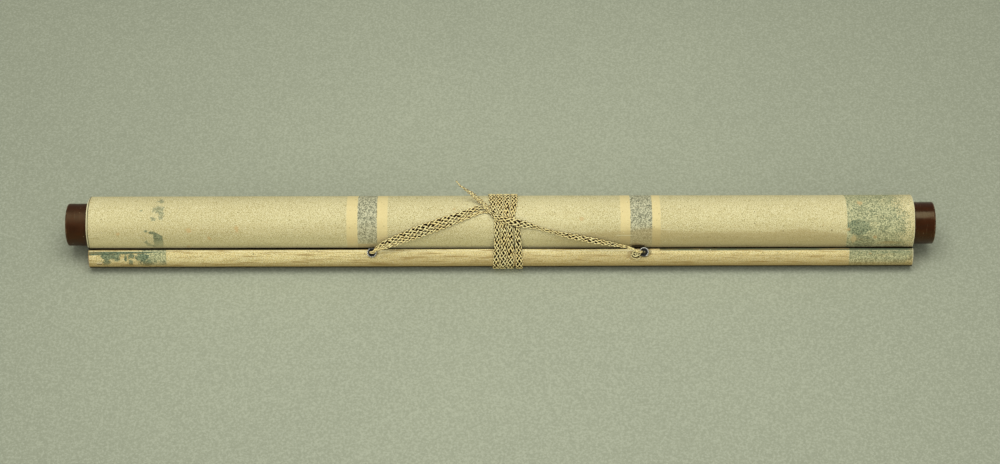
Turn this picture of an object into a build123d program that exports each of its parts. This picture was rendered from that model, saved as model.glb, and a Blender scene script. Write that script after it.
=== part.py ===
from build123d import *
import os
from math import acos, asin, atan2, cos, degrees, hypot, radians, sin, sqrt, tan

# A hanging scroll, rolled up and tied, lying on a table. All sizes are in millimetres.
# X runs along the roll, the front is -Y, and Z is up. The origin is on the table, under the
# middle of the roller's axis.

os.makedirs("parts", exist_ok=True)

# Sheet: paper mounting, wound on the roller and pasted round the top stave
sheet_width = 545.0
sheet_thickness = 0.28
turn_gap = 0.20
turn_count = 12
paste_gap = 0.10

# Roller and its two end knobs
core_radius = 12.5
core_overhang = 0.5
tenon_radius = 6.0
tenon_length = 9.0
tenon_clearance = 0.10
tenon_end_space = 0.5
tenon_chamfer = 0.6
knob_radius = 14.0
knob_length = 14.0
knob_rim_bevel = 1.0

# Top stave: a bar of D section, flat towards the roll
stave_width = 15.0
stave_depth = 10.0
stave_crown_radius = 5.8
stave_corner_radius = 1.0
stave_end_setback = 0.6
stave_seat_gap = 0.20

# Eyes and their washers, driven into the stave's upper edge
eye_place = {"left": -84.9, "right": 94.6}
eye_lean = {"left": 0.0, "right": -40.0}
eye_rise = 2.2
eye_wire = 0.80
eye_loop_radius = 1.35
eye_neck = 0.40
eye_neck_radius = 0.37
leg_radius = 0.65
leg_length = 7.0
leg_clearance = 0.10
washer_radius = 3.15
washer_bore_clearance = 0.15
washer_rim_width = 1.05
washer_rim_height = 0.90
washer_floor = 0.25
washer_seat_gap = 0.05

# Braids: the tie tape and the hanging cord are the same flat braid
braid_width = 4.7
braid_thickness = 1.1
braid_gap = 0.10
lane_count = 4
lane_gap = 0.25
lane_start = -7.8
folded_width = 2.6
crossing_width = 3.0
twisted_width = 3.4
strand_width = 1.00
link_radius = 1.30
tail_radius = 0.80
tail_side_count = 6
lap = 0.6
arc_share = 0.45
cut_margin = 2.0

# Directions that the cord's lay is set out from
lay_angle = 45.0
apex_angle = 82.0

# The cord's lay, as (along the roll, up the lay plane) from the middle of the roller's axis.
# Its bands are traced along these routes and cut to the roll's curve.
left_route = [(-80.5, -14.4), (-66.1, -8.8), (-35.8, 2.6), (-9.8, 10.2)]
left_step_route = [(-12.6, 9.9), (-9.0, 9.9)]
crossing_route = [(-12.4, 9.9), (-6.9, 7.4), (-4.5, 5.6), (3.0, 2.5), (10.8, 0.2), (17.0, -0.9)]
right_step_route = [(13.4, -0.4), (17.6, -1.1)]
right_route = [(13.9, -0.5), (19.4, -1.2), (30.5, -4.7), (42.4, -7.5), (59.5, -11.0), (80.0, -14.9)]
right_route_end = (86.6, -16.3)

# The tail's route, as (along the roll, back, up) from the middle of the roller's axis
tail_route = [
    (-6.0, -3.0, 19.4),
    (-11.7, -0.7, 20.9),
    (-16.8, 2.2, 23.2),
    (-22.4, 5.2, 26.5),
    (-28.9, 8.0, 31.0),
]

# Sizes that follow from these
half_pitch = (sheet_thickness + turn_gap) / 2
last_half_turn = 2 * turn_count - 1
roll_radius = core_radius + paste_gap + sheet_thickness + turn_count * 2 * half_pitch
wrap = paste_gap + sheet_thickness
axis_height = roll_radius + braid_gap + braid_thickness

half_stave = stave_width / 2
crown_rise = stave_depth - stave_crown_radius
side_radius = (half_stave**2 + crown_rise**2 - stave_crown_radius**2) / (
    2 * (half_stave - stave_crown_radius)
)
side_shift = side_radius - half_stave
crown_angle = degrees(atan2(crown_rise, side_shift))
stave_distance = roll_radius + stave_seat_gap

# The roll and the stave both lie on the table, so the stave's direction below the level
# follows from the line that touches both.
touch_reach = roll_radius - side_radius - wrap
touch_angle = degrees(
    acos(touch_reach / hypot(stave_distance, side_shift)) - atan2(side_shift, stave_distance)
)
stave_drop = 90 - touch_angle


def across(angle, radius, centre=(0.0, axis_height)):
    """A point of the cross-section, its angle measured from the back, through the top."""
    return (
        centre[0] + radius * cos(radians(angle)),
        centre[1] + radius * sin(radians(angle)),
    )


stave_seat = across(180 + stave_drop, stave_distance)
stave_plane = Plane(
    origin=(0, stave_seat[0], stave_seat[1]),
    x_dir=(0, sin(radians(stave_drop)), -cos(radians(stave_drop))),
    z_dir=(-1, 0, 0),
)
lay_plane = Plane(
    origin=(0, 0, axis_height),
    x_dir=(1, 0, 0),
    z_dir=(0, -cos(radians(lay_angle)), sin(radians(lay_angle))),
)


def stave_section(grow):
    """The stave's D section, made larger all round by grow."""
    low = degrees(asin(grow / (side_radius + grow)))
    foot = (side_radius + grow) * cos(radians(low)) - side_shift
    with BuildSketch() as section:
        with BuildLine():
            CenterArc((-side_shift, 0), side_radius + grow, -low, crown_angle + low)
            CenterArc(
                (0, crown_rise), stave_crown_radius + grow, crown_angle, 180 - 2 * crown_angle
            )
            CenterArc((side_shift, 0), side_radius + grow, 180 - crown_angle, crown_angle + low)
            Line((-foot, -grow), (foot, -grow))
        make_face()
        fillet(section.vertices().sort_by(Axis.Y)[:2], stave_corner_radius + grow)
    return stave_plane * section.sketch


def bundle_section(grow):
    """The outline that a tape takes when it is drawn round the roll and the stave."""
    side = side_radius + wrap + grow
    crown = stave_crown_radius + wrap + grow
    roll = roll_radius + grow
    turn = 90 - touch_angle
    rise = radians(turn)
    right_stave = (-side_shift + side * cos(rise), side * sin(rise))
    right_roll = (roll * cos(rise), -stave_distance + roll * sin(rise))
    with BuildSketch() as section:
        with BuildLine():
            CenterArc((-side_shift, 0), side, turn, crown_angle - turn)
            CenterArc((0, crown_rise), crown, crown_angle, 180 - 2 * crown_angle)
            CenterArc((side_shift, 0), side, 180 - crown_angle, crown_angle - turn)
            Line((-right_stave[0], right_stave[1]), (-right_roll[0], right_roll[1]))
            CenterArc((0, -stave_distance), roll, 180 - turn, 180 + 2 * turn)
            Line(right_roll, right_stave)
        make_face()
    return stave_plane * section.sketch


# The two half-turns of the spiral have their centres half a pitch apart. The outer end leaves
# the roll where the line to the stave's lower corner touches it.
corner_point = (
    sqrt((side_radius - stave_corner_radius) ** 2 - stave_corner_radius**2) - side_shift,
    stave_distance + stave_corner_radius,
)
corner_distance = hypot(*corner_point)
split_angle = (
    180
    + stave_drop
    + degrees(atan2(corner_point[0], corner_point[1]))
    + degrees(acos(roll_radius / corner_distance))
)
shifted_centre = across(split_angle + 180, half_pitch)


def half_turn(step):
    """Centre, radius and first angle of a half-turn's outer face, counted from the roller."""
    left = last_half_turn - step
    centre = (0.0, axis_height) if left % 2 == 0 else shifted_centre
    first = split_angle if left % 2 == 0 else split_angle + 180
    return centre, roll_radius - left * half_pitch, first


# Paper roll: one sheet, wound on the roller, then pasted round the stave as a sleeve
with BuildPart() as paper_roll:
    with BuildSketch(Plane.YZ):
        with BuildLine():
            for step in range(2 * turn_count):
                centre, radius, first = half_turn(step)
                CenterArc(centre, radius, first, 180)
                CenterArc(centre, radius - sheet_thickness, first, 180)
            outer_end = across(split_angle, roll_radius)
            inner_end = across(split_angle, roll_radius - sheet_thickness)
            Line(outer_end, inner_end)
            centre, radius, first = half_turn(0)
            Line(
                across(first + 180, radius, centre),
                across(first + 180, radius - sheet_thickness, centre),
            )
        make_face()
        corner = across(
            180 + stave_drop + degrees(atan2(corner_point[0], corner_point[1])),
            corner_distance,
        )
        with BuildLine():
            Polyline(
                outer_end,
                corner,
                across(split_angle + 180, sheet_thickness, corner),
                inner_end,
                close=True,
            )
        make_face()
    extrude(amount=sheet_width / 2, both=True)
    extrude(stave_section(wrap), amount=sheet_width / 2, both=True)
    extrude(stave_section(paste_gap), amount=sheet_width / 2, both=True, mode=Mode.SUBTRACT)

# Roller: a plain rod with a round tenon on each end
with BuildPart() as roller_core:
    with BuildSketch(Plane.YZ):
        with Locations((0, axis_height)):
            Circle(core_radius)
    extrude(amount=sheet_width / 2 + core_overhang, both=True)
    with BuildSketch(Plane.YZ):
        with Locations((0, axis_height)):
            Circle(tenon_radius)
    extrude(amount=sheet_width / 2 + core_overhang + tenon_length, both=True)
    ends = roller_core.faces().filter_by(Axis.X).sort_by(Axis.X)
    chamfer(ends[0].edges() + ends[-1].edges(), tenon_chamfer)

# Top stave, and the holes in it for the legs of the two eyes
with BuildPart() as top_stave:
    extrude(stave_section(0), amount=sheet_width / 2 - stave_end_setback, both=True)

# The eyes stand on the sleeve's surface, square to it, at eye_rise from the stave's flat
eye_tilt = asin(eye_rise / side_radius)
eye_surface = stave_plane.from_local_coords(
    (
        side_shift - (side_radius + wrap) * cos(eye_tilt),
        (side_radius + wrap) * sin(eye_tilt),
    )
)
eye_normal = (
    stave_plane.from_local_coords((-cos(eye_tilt), sin(eye_tilt))) - stave_plane.origin
)


def eye_foot(side):
    """The plane on the sleeve's surface that an eye and its washer stand on."""
    return Plane(
        origin=(eye_place[side], eye_surface.Y, eye_surface.Z),
        x_dir=(1, 0, 0),
        z_dir=eye_normal,
    )


def eye_upright(side):
    """The plane along the roll and out of the surface, through the middle of an eye."""
    foot = eye_foot(side)
    return Plane(origin=foot.origin, x_dir=(1, 0, 0), z_dir=foot.y_dir * -1)


for body in (top_stave, paper_roll):
    with body:
        for side in eye_place:
            with BuildSketch(eye_foot(side)):
                Circle(leg_radius + leg_clearance)
            extrude(amount=-(leg_length + leg_clearance), mode=Mode.SUBTRACT)

paper_roll.part.label = "paper_roll"
export_step(paper_roll.part, "parts/paper_roll.step")
roller_core.part.label = "roller_core"
export_step(roller_core.part, "parts/roller_core.step")
top_stave.part.label = "top_stave"
export_step(top_stave.part, "parts/top_stave.step")

# Knobs: turned, with a blind socket that the roller's tenon is glued into
for side, way in (("left", -1), ("right", 1)):
    knob_seat = Plane(
        origin=(way * (sheet_width / 2 + core_overhang), 0, axis_height),
        x_dir=(way, 0, 0),
        z_dir=(0, -1, 0),
    )
    with BuildPart() as knob:
        with BuildSketch(knob_seat):
            with BuildLine():
                Polyline(
                    (knob_length, 0),
                    (0, 0),
                    (0, knob_radius),
                    (knob_length - knob_rim_bevel, knob_radius),
                    (knob_length, knob_radius - knob_rim_bevel),
                    close=True,
                )
            make_face()
        revolve(axis=Axis((0, 0, axis_height), (1, 0, 0)))
        with BuildSketch(Plane(origin=knob_seat.origin, z_dir=(way, 0, 0))):
            Circle(tenon_radius + tenon_clearance)
        extrude(amount=tenon_length + tenon_end_space, mode=Mode.SUBTRACT)
    knob.part.label = f"knob_{side}"
    export_step(knob.part, f"parts/knob_{side}.step")

# Eyes: a wire loop on a leg, bent over where the cord has pulled it; and dished washers
loop_height = washer_floor + eye_neck + eye_wire / 2 + eye_loop_radius
eye_top = {}
for side in eye_place:
    foot = eye_foot(side)
    upright = eye_upright(side)
    lean = radians(eye_lean[side])
    loop_way = Vector(sin(lean), 0, 0) + eye_normal * cos(lean)
    loop_centre = foot.origin + loop_way * loop_height
    eye_top[side] = foot.origin + loop_way * (loop_height + eye_loop_radius)
    loop_plane = Plane(origin=loop_centre, x_dir=loop_way, z_dir=foot.y_dir)
    with BuildPart() as eyelet:
        with BuildSketch(foot):
            Circle(leg_radius)
        extrude(amount=-leg_length)
        with BuildSketch(foot):
            Circle(leg_radius)
        extrude(amount=washer_floor)
        with BuildSketch(Plane(origin=foot.origin, z_dir=loop_way)):
            Circle(eye_neck_radius)
        extrude(amount=loop_height - eye_loop_radius)
        with BuildSketch(loop_plane):
            with Locations((eye_loop_radius, 0)):
                Rectangle(eye_wire, eye_wire)
        revolve(axis=Axis(loop_centre, loop_plane.y_dir))
    eyelet.part.label = f"eyelet_{side}"
    export_step(eyelet.part, f"parts/eyelet_{side}.step")

    bore_radius = leg_radius + washer_bore_clearance
    rim_inside = washer_radius - washer_rim_width
    with BuildPart() as washer:
        with BuildSketch(upright):
            with BuildLine():
                Polyline(
                    (bore_radius, washer_seat_gap),
                    (washer_radius, washer_seat_gap),
                    (washer_radius, washer_rim_height),
                    (rim_inside, washer_rim_height),
                    (rim_inside, washer_floor),
                    (bore_radius, washer_floor),
                    close=True,
                )
            make_face()
        revolve(axis=Axis(foot.origin, eye_normal))
    washer.part.label = f"washer_{side}"
    export_step(washer.part, f"parts/washer_{side}.step")


def lay_section(height_on_roll, thickness, eye):
    """The section of a braid that lies on the roll and runs straight to an eye."""
    middle = roll_radius + height_on_roll + thickness / 2
    reach = hypot(eye.Y, eye.Z - axis_height)
    leave = degrees(atan2(eye.Z - axis_height, eye.Y)) % 360 - degrees(acos(middle / reach))
    end_point = (eye.Y, eye.Z)
    apex = 180 - apex_angle
    with BuildSketch(Plane.YZ) as section:
        with BuildLine():
            CenterArc((0, axis_height), middle - thickness / 2, apex, leave - apex)
            Polyline(
                across(leave, middle - thickness / 2),
                across(leave, -thickness / 2, end_point),
                across(leave, thickness / 2, end_point),
                across(leave, middle + thickness / 2),
            )
            CenterArc((0, axis_height), middle + thickness / 2, apex, leave - apex)
            Line(across(apex, middle - thickness / 2), across(apex, middle + thickness / 2))
        make_face()
    return section.sketch


def laid(routes, height_on_roll, thickness, eye):
    """A braid laid on the roll along routes of the lay plane, each with its own width."""
    with BuildPart() as band:
        for route, width in routes:
            with BuildSketch(lay_plane):
                with BuildLine():
                    Polyline(*route)
                trace(line_width=width)
            extrude(amount=2 * roll_radius)
        extrude(
            lay_section(height_on_roll, thickness, eye),
            amount=sheet_width / 2,
            both=True,
            mode=Mode.INTERSECT,
        )
    return band.part


def beside(route, distance):
    """A route that runs beside another, lower on the lay plane."""
    slope = atan2(route[-1][1] - route[0][1], route[-1][0] - route[0][0])
    return [(x + distance * sin(slope), y - distance * cos(slope)) for x, y in route]


def lay_point(point):
    """A point's place on the lay plane."""
    local = lay_plane.to_local_coords(point)
    return (local.X, local.Y)


level = braid_thickness + braid_gap
left_link = lay_point(eye_top["left"] + Vector(link_radius, 0, 0))
right_link = lay_point(eye_top["right"] - Vector(link_radius, 0, 0))
left_end = [left_link, left_route[0]]
right_end = [right_route[-1], right_route_end, right_link]
left_band = laid(
    [(left_route, braid_width), (left_end, strand_width)],
    braid_gap,
    braid_thickness,
    eye_top["left"],
)
left_step = laid(
    [(left_step_route, crossing_width)],
    braid_gap,
    braid_thickness + level,
    eye_top["left"],
)
crossing = laid(
    [(crossing_route, crossing_width)], braid_gap + level, braid_thickness, eye_top["left"]
)
right_step = laid(
    [(right_step_route, crossing_width)],
    braid_gap,
    braid_thickness + level,
    eye_top["right"],
)
right_band = laid(
    [(right_route, twisted_width), (right_end, strand_width)],
    braid_gap,
    braid_thickness,
    eye_top["right"],
)

# Hanging cord: from eye to eye, over the turns of the tie tape, looped through each eye
with BuildPart() as hanging_cord:
    for piece in (left_band, left_step, crossing, right_step, right_band):
        add(piece)
    for side in eye_place:
        link_plane = Plane(origin=eye_top[side], x_dir=eye_normal, z_dir=(1, 0, 0))
        with BuildSketch(link_plane):
            with Locations((link_radius, 0)):
                Rectangle(strand_width, strand_width)
        revolve(axis=Axis(eye_top[side], link_plane.y_dir))
hanging_cord.part.label = "hanging_cord"
export_step(hanging_cord.part, "parts/hanging_cord.step")

# Tie tape: lanes side by side round the roll and the stave, each half-turn leaning by half a
# lane, so that the front and back halves join up as one winding
lane_pitch = braid_width + lane_gap
bundle_height = axis_height + roll_radius + braid_gap + braid_thickness
lean_per_height = lane_pitch / 2 / bundle_height
lanes_width = (lane_count + 1) * lane_pitch


def lane_face(start, way):
    """A leaning lane, seen from the front: its left edge is at start, at the bundle's top."""
    margin_lean = lean_per_height * cut_margin
    high = start - way * margin_lean
    low = start + way * (lane_pitch / 2 + margin_lean)
    with BuildSketch(Plane.XZ) as face:
        with BuildLine():
            Polyline(
                (high, bundle_height + cut_margin),
                (high + braid_width, bundle_height + cut_margin),
                (low + braid_width, -cut_margin),
                (low, -cut_margin),
                close=True,
            )
        make_face()
    return face.sketch


with BuildPart() as tape_ring:
    extrude(bundle_section(braid_gap + braid_thickness), amount=2 * lanes_width, both=True)
    extrude(bundle_section(braid_gap), amount=2 * lanes_width, both=True, mode=Mode.SUBTRACT)

# The tape's run from the left eye lies below the cord and joins the first lane
tie_route = beside(left_route, (braid_width + folded_width) / 2 + lane_gap)
tie_slope = (tie_route[-1][1] - tie_route[-2][1]) / (tie_route[-1][0] - tie_route[-2][0])
tie_reach = lane_start + lap
tie_end = (tie_reach, tie_route[-1][1] + (tie_reach - tie_route[-1][0]) * tie_slope)
tie_run = laid([(tie_route + [tie_end], folded_width)], braid_gap, braid_thickness, eye_top["left"])

# The tail is a stiff end that stands free: straight runs joined by arcs as large as they allow
tail_points = [Vector(x, y, z + axis_height) for x, y, z in tail_route]
tail_runs = [end - start for start, end in zip(tail_points, tail_points[1:])]
tail_radii = [
    arc_share * min(run.length, after.length) / tan(radians(run.get_angle(after)) / 2)
    for run, after in zip(tail_runs, tail_runs[1:])
]
print("tail arcs", [round(radius, 1) for radius in tail_radii])

with BuildPart() as tail:
    with BuildLine() as tail_line:
        FilletPolyline(*tail_points, radius=tail_radii)
    with BuildSketch(Plane(origin=tail_line.line @ 0, z_dir=tail_line.line % 0)):
        RegularPolygon(tail_radius, tail_side_count)
    sweep()

with BuildPart() as tie_tape:
    for lane in range(lane_count):
        extrude(lane_face(lane_start + lane * lane_pitch, 1), amount=2 * axis_height)
        extrude(lane_face(lane_start + lane * lane_pitch, -1), amount=-2 * axis_height)
    add(tape_ring.part, mode=Mode.INTERSECT)
    add(tie_run)
    add(tail.part)
tie_tape.part.label = "tie_tape"
export_step(tie_tape.part, "parts/tie_tape.step")
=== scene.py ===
from collections import namedtuple
from math import acos, asin, atan2, ceil, cos, degrees, exp, hypot, pi, radians, sin, sqrt

import bpy
import numpy as np
from mathutils import Matrix, Vector, noise


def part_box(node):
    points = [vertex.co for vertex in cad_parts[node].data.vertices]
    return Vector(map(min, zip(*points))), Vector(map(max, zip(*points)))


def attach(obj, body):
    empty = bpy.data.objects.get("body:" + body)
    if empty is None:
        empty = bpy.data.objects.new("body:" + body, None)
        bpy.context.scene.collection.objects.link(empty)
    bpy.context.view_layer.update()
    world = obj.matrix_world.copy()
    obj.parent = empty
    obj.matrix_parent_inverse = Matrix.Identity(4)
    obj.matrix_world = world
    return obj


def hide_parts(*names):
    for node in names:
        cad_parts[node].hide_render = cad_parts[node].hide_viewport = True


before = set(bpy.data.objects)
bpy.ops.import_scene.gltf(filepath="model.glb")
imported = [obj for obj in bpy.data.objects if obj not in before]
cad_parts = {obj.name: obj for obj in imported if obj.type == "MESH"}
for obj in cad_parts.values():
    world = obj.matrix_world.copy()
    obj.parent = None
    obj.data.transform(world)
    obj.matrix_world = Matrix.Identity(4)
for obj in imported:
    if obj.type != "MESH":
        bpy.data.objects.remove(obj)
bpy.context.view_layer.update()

# A hanging scroll, rolled up and tied. Lengths are in millimetres until a mesh is made.
# X runs along the roll, the front is -Y, and Z is up.

MM = 0.001

# Sizes read from the frame
sheet_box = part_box("paper_roll")
knob_box = {side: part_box(f"knob_{side}") for side in ("left", "right")}
SHEET_WIDTH = (sheet_box[1].x - sheet_box[0].x) / MM
AXIS_HEIGHT = (knob_box["left"][0].z + knob_box["left"][1].z) / 2 / MM
KNOB_RADIUS = (knob_box["left"][1].z - knob_box["left"][0].z) / 2 / MM

# Driving sizes of the sheet, the stave and the fittings
SHEET_THICKNESS = 0.28
TURN_GAP = 0.20
TURN_COUNT = 12
PASTE_GAP = 0.10
CORE_RADIUS = 12.5
STAVE_WIDTH = 15.0
STAVE_DEPTH = 10.0
CROWN_RADIUS = 5.8
CORNER_RADIUS = 1.0
SEAT_GAP = 0.20
EYE_PLACE = {"left": -84.9, "right": 94.6}
EYE_LEAN = {"left": 0.0, "right": -40.0}
EYE_RISE = 2.2
EYE_NECK = 0.40
EYE_LOOP_RADIUS = 1.35
EYE_WIRE = 0.80
WASHER_RADIUS = 3.15
WASHER_BORE = 0.82
WASHER_FLOOR = 0.25
WASHER_RIM_WIDTH = 0.85
WASHER_RIM_HEIGHT = 0.90
BRAID_GAP = 0.10
BRAID_THICKNESS = 1.1
BRAID_WIDTH = 4.7
LANE_GAP = 0.25
LANE_COUNT = 4
LANE_START = -7.8
LAY_ANGLE = 45.0

# Sizes that follow
HALF_PITCH = (SHEET_THICKNESS + TURN_GAP) / 2
ROLL_RADIUS = CORE_RADIUS + PASTE_GAP + SHEET_THICKNESS + TURN_COUNT * 2 * HALF_PITCH
WRAP = PASTE_GAP + SHEET_THICKNESS
CROWN_RISE = STAVE_DEPTH - CROWN_RADIUS
HALF_STAVE = STAVE_WIDTH / 2
SIDE_RADIUS = (HALF_STAVE**2 + CROWN_RISE**2 - CROWN_RADIUS**2) / (2 * (HALF_STAVE - CROWN_RADIUS))
SIDE_SHIFT = SIDE_RADIUS - HALF_STAVE
CROWN_ANGLE = degrees(atan2(CROWN_RISE, SIDE_SHIFT))
STAVE_DISTANCE = ROLL_RADIUS + SEAT_GAP
TURN_ANGLE = 90 - degrees(
    acos((ROLL_RADIUS - SIDE_RADIUS - WRAP) / hypot(STAVE_DISTANCE, SIDE_SHIFT))
    - atan2(SIDE_SHIFT, STAVE_DISTANCE)
)
STAVE_DROP = radians(TURN_ANGLE)
LANE_PITCH = BRAID_WIDTH + LANE_GAP
BUNDLE_HEIGHT = AXIS_HEIGHT + ROLL_RADIUS + BRAID_GAP + BRAID_THICKNESS
LAY_TILT = radians(LAY_ANGLE)

# The view of the photograph: a long lens, from the front, looking down
SENSOR_WIDTH = 36.0
LENS = 79.7
VIEW_DISTANCE = 1472.0
VIEW_DROP = 5.5
VIEW_SIDE = -0.33
VIEW_ROLL = -0.13
VIEW_CLIP = (0.05, 50.0)


def smooth(value, low, high):
    """0 below low, 1 above high, and smooth between."""
    share = min(1.0, max(0.0, (value - low) / (high - low)))
    return share * share * (3 - 2 * share)


def wander(*place):
    """Smooth noise between -1 and 1 at a place."""
    return noise.noise(Vector(place))


# Points of the cross-section, as (y, z) pairs

def across(angle, radius, centre=(0.0, AXIS_HEIGHT)):
    """A point at an angle, in degrees from the back through the top."""
    turn = radians(angle)
    return (centre[0] + radius * cos(turn), centre[1] + radius * sin(turn))


def from_stave(along, out):
    """A point given towards the stave's lower edge and outward, from the stave's seat."""
    reach = STAVE_DISTANCE + out
    return (
        along * sin(STAVE_DROP) - reach * cos(STAVE_DROP),
        AXIS_HEIGHT - along * cos(STAVE_DROP) - reach * sin(STAVE_DROP),
    )


def stave_arc(centre, radius, first, last, steps):
    """Points and outward directions along an arc in the stave's own axes."""
    root = from_stave(*centre)
    points = []
    for step in range(steps + 1):
        turn = radians(first + (last - first) * step / steps)
        point = from_stave(centre[0] + radius * cos(turn), centre[1] + radius * sin(turn))
        points.append((point, ((point[0] - root[0]) / radius, (point[1] - root[1]) / radius)))
    return points


# Meshes

def add_object(name, data):
    """An object of the scene, at the origin, made from its data."""
    made = bpy.data.objects.new(name, data)
    bpy.context.scene.collection.objects.link(made)
    return made


def mesh_object(name, vertices, faces, smooth_angle=38.0, attributes=None):
    """A mesh object from points in millimetres."""
    mesh = bpy.data.meshes.new(name)
    mesh.from_pydata((np.asarray(vertices, float) * MM).tolist(), [], faces)
    for key, values in (attributes or {}).items():
        layer = mesh.attributes.new(key, "FLOAT", "POINT")
        layer.data.foreach_set("value", np.asarray(values, np.float32))
    mesh.validate()
    mesh.shade_smooth()
    mesh.set_sharp_from_angle(angle=radians(smooth_angle))
    return add_object(name, mesh)


def finish_piece(piece, material, replaced=None):
    """Gives a piece its material, the body that it rides on and the node that it stands for."""
    piece.data.materials.append(material)
    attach(piece, "root")
    if replaced:
        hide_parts(replaced)


def ring_faces(count, sides, first=0, closed=False):
    """Faces between rings of points. The end rings are filled, or else the last meets the first."""
    faces = []
    for row in range(count if closed else count - 1):
        base = first + row * sides
        next_base = first + (row + 1) % count * sides
        for side in range(sides):
            after = (side + 1) % sides
            faces.append((base + side, base + after, next_base + after, next_base + side))
    if not closed:
        last = first + (count - 1) * sides
        faces.append(tuple(range(first + sides - 1, first - 1, -1)))
        faces.append(tuple(range(last, last + sides)))
    return faces


def unit(rows):
    """Vectors scaled to length 1."""
    return rows / np.linalg.norm(rows, axis=1)[:, None]


def distance_along(line):
    """How far along a line each of its points lies."""
    return np.concatenate([[0], np.cumsum(np.linalg.norm(np.diff(line, axis=0), axis=1))])


def resampled(line, step, normals, widths):
    """A line at even steps, with its normals, sideways directions, widths and distances."""
    reach = distance_along(line)
    count = max(2, int(ceil(reach[-1] / step)) + 1)
    wanted = np.linspace(0, reach[-1], count)
    line, normals = (
        np.array([np.interp(wanted, reach, column) for column in values.T]).T
        for values in (line, normals)
    )
    normals = unit(normals)
    side_way = np.cross(unit(np.gradient(line, axis=0)), normals)
    return line, normals, side_way, np.interp(wanted, reach, widths), wanted


def route_points(control):
    """Points of the smooth line that has a route's points as its control points."""
    curve = bpy.data.curves.new("route", "CURVE")
    curve.dimensions = "3D"
    spline = curve.splines.new("NURBS")
    spline.points.add(len(control) - 1)
    for point, place in zip(spline.points, control):
        point.co = (*place, 1.0)
    spline.order_u = 3
    spline.use_endpoint_u = True
    spline.resolution_u = 24
    holder = add_object("route", curve)
    bpy.context.view_layer.update()
    drawn = holder.evaluated_get(bpy.context.evaluated_depsgraph_get())
    mesh = bpy.data.meshes.new_from_object(drawn)
    points = np.array([vertex.co for vertex in mesh.vertices], float)
    bpy.data.objects.remove(holder)
    bpy.data.curves.remove(curve)
    bpy.data.meshes.remove(mesh)
    return points


BAND_STEP = 1.2
BAND_DROP = 0.30
BAND_THICKNESS = 0.25
BAND_SECTION = ((-1, 0), (1, 0), (0.8, 1), (-0.8, 1))


class Bundle:
    """Tubes or bands gathered into one mesh. Each point of a tube has a shade value."""

    def __init__(self):
        self.points = []
        self.faces = []
        self.shade = []

    def tube(self, line, normals, wide, high, sides=8, lobes=0.0, twist=1.0, shade=0.5, taper=1.0):
        """A tube of an oval section along a line, its flat side square to the normals."""
        line = np.asarray(line, float)
        tangent = unit(np.gradient(line, axis=0))
        normals = unit(normals - (normals * tangent).sum(1)[:, None] * tangent)
        side_way = np.cross(tangent, normals)
        reach = distance_along(line)
        shade = np.broadcast_to(shade, len(line))
        taper = np.broadcast_to(taper, len(line))
        turn = np.arange(sides) * 2 * pi / sides
        self.faces.extend(ring_faces(len(line), sides, len(self.points)))
        for index, size in enumerate(taper):
            swell = 1 + lobes * np.cos(2 * turn + 2 * pi * reach[index] / twist)
            ring = (
                line[index]
                + np.outer(np.cos(turn) * wide * size * swell, side_way[index])
                + np.outer(np.sin(turn) * high * size * swell, normals[index])
            )
            self.points.extend(ring.tolist())
            self.shade.extend((shade[index] + 0.65 * np.sin(turn)).tolist())

    def band(self, line, normals, widths):
        """A thin closed band just under a braid's line: its inner yarns, near black as painted shade
        in the braid's gaps.
        """
        line = line - normals * BAND_DROP
        line, normals, side_way, widths, _ = resampled(line, BAND_STEP, normals, widths)
        self.faces.extend(ring_faces(len(line), len(BAND_SECTION), len(self.points)))
        for index, width in enumerate(widths):
            half = max(width / 2, 0.2)
            for across_share, up_share in BAND_SECTION:
                self.points.append(
                    line[index]
                    + side_way[index] * half * across_share
                    + normals[index] * BAND_THICKNESS * (up_share - 0.5)
                )

    def piece(self, name, smooth_angle):
        attributes = {"height": self.shade} if self.shade else {}
        return mesh_object(name, self.points, self.faces, smooth_angle, attributes)


# Materials

def rgb(red, green, blue):
    """A colour given in the usual 0 to 255, as the shader wants it."""
    linear = []
    for part in (red, green, blue):
        part /= 255
        linear.append(part / 12.92 if part <= 0.04045 else ((part + 0.055) / 1.055) ** 2.4)
    return (*linear, 1.0)


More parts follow.
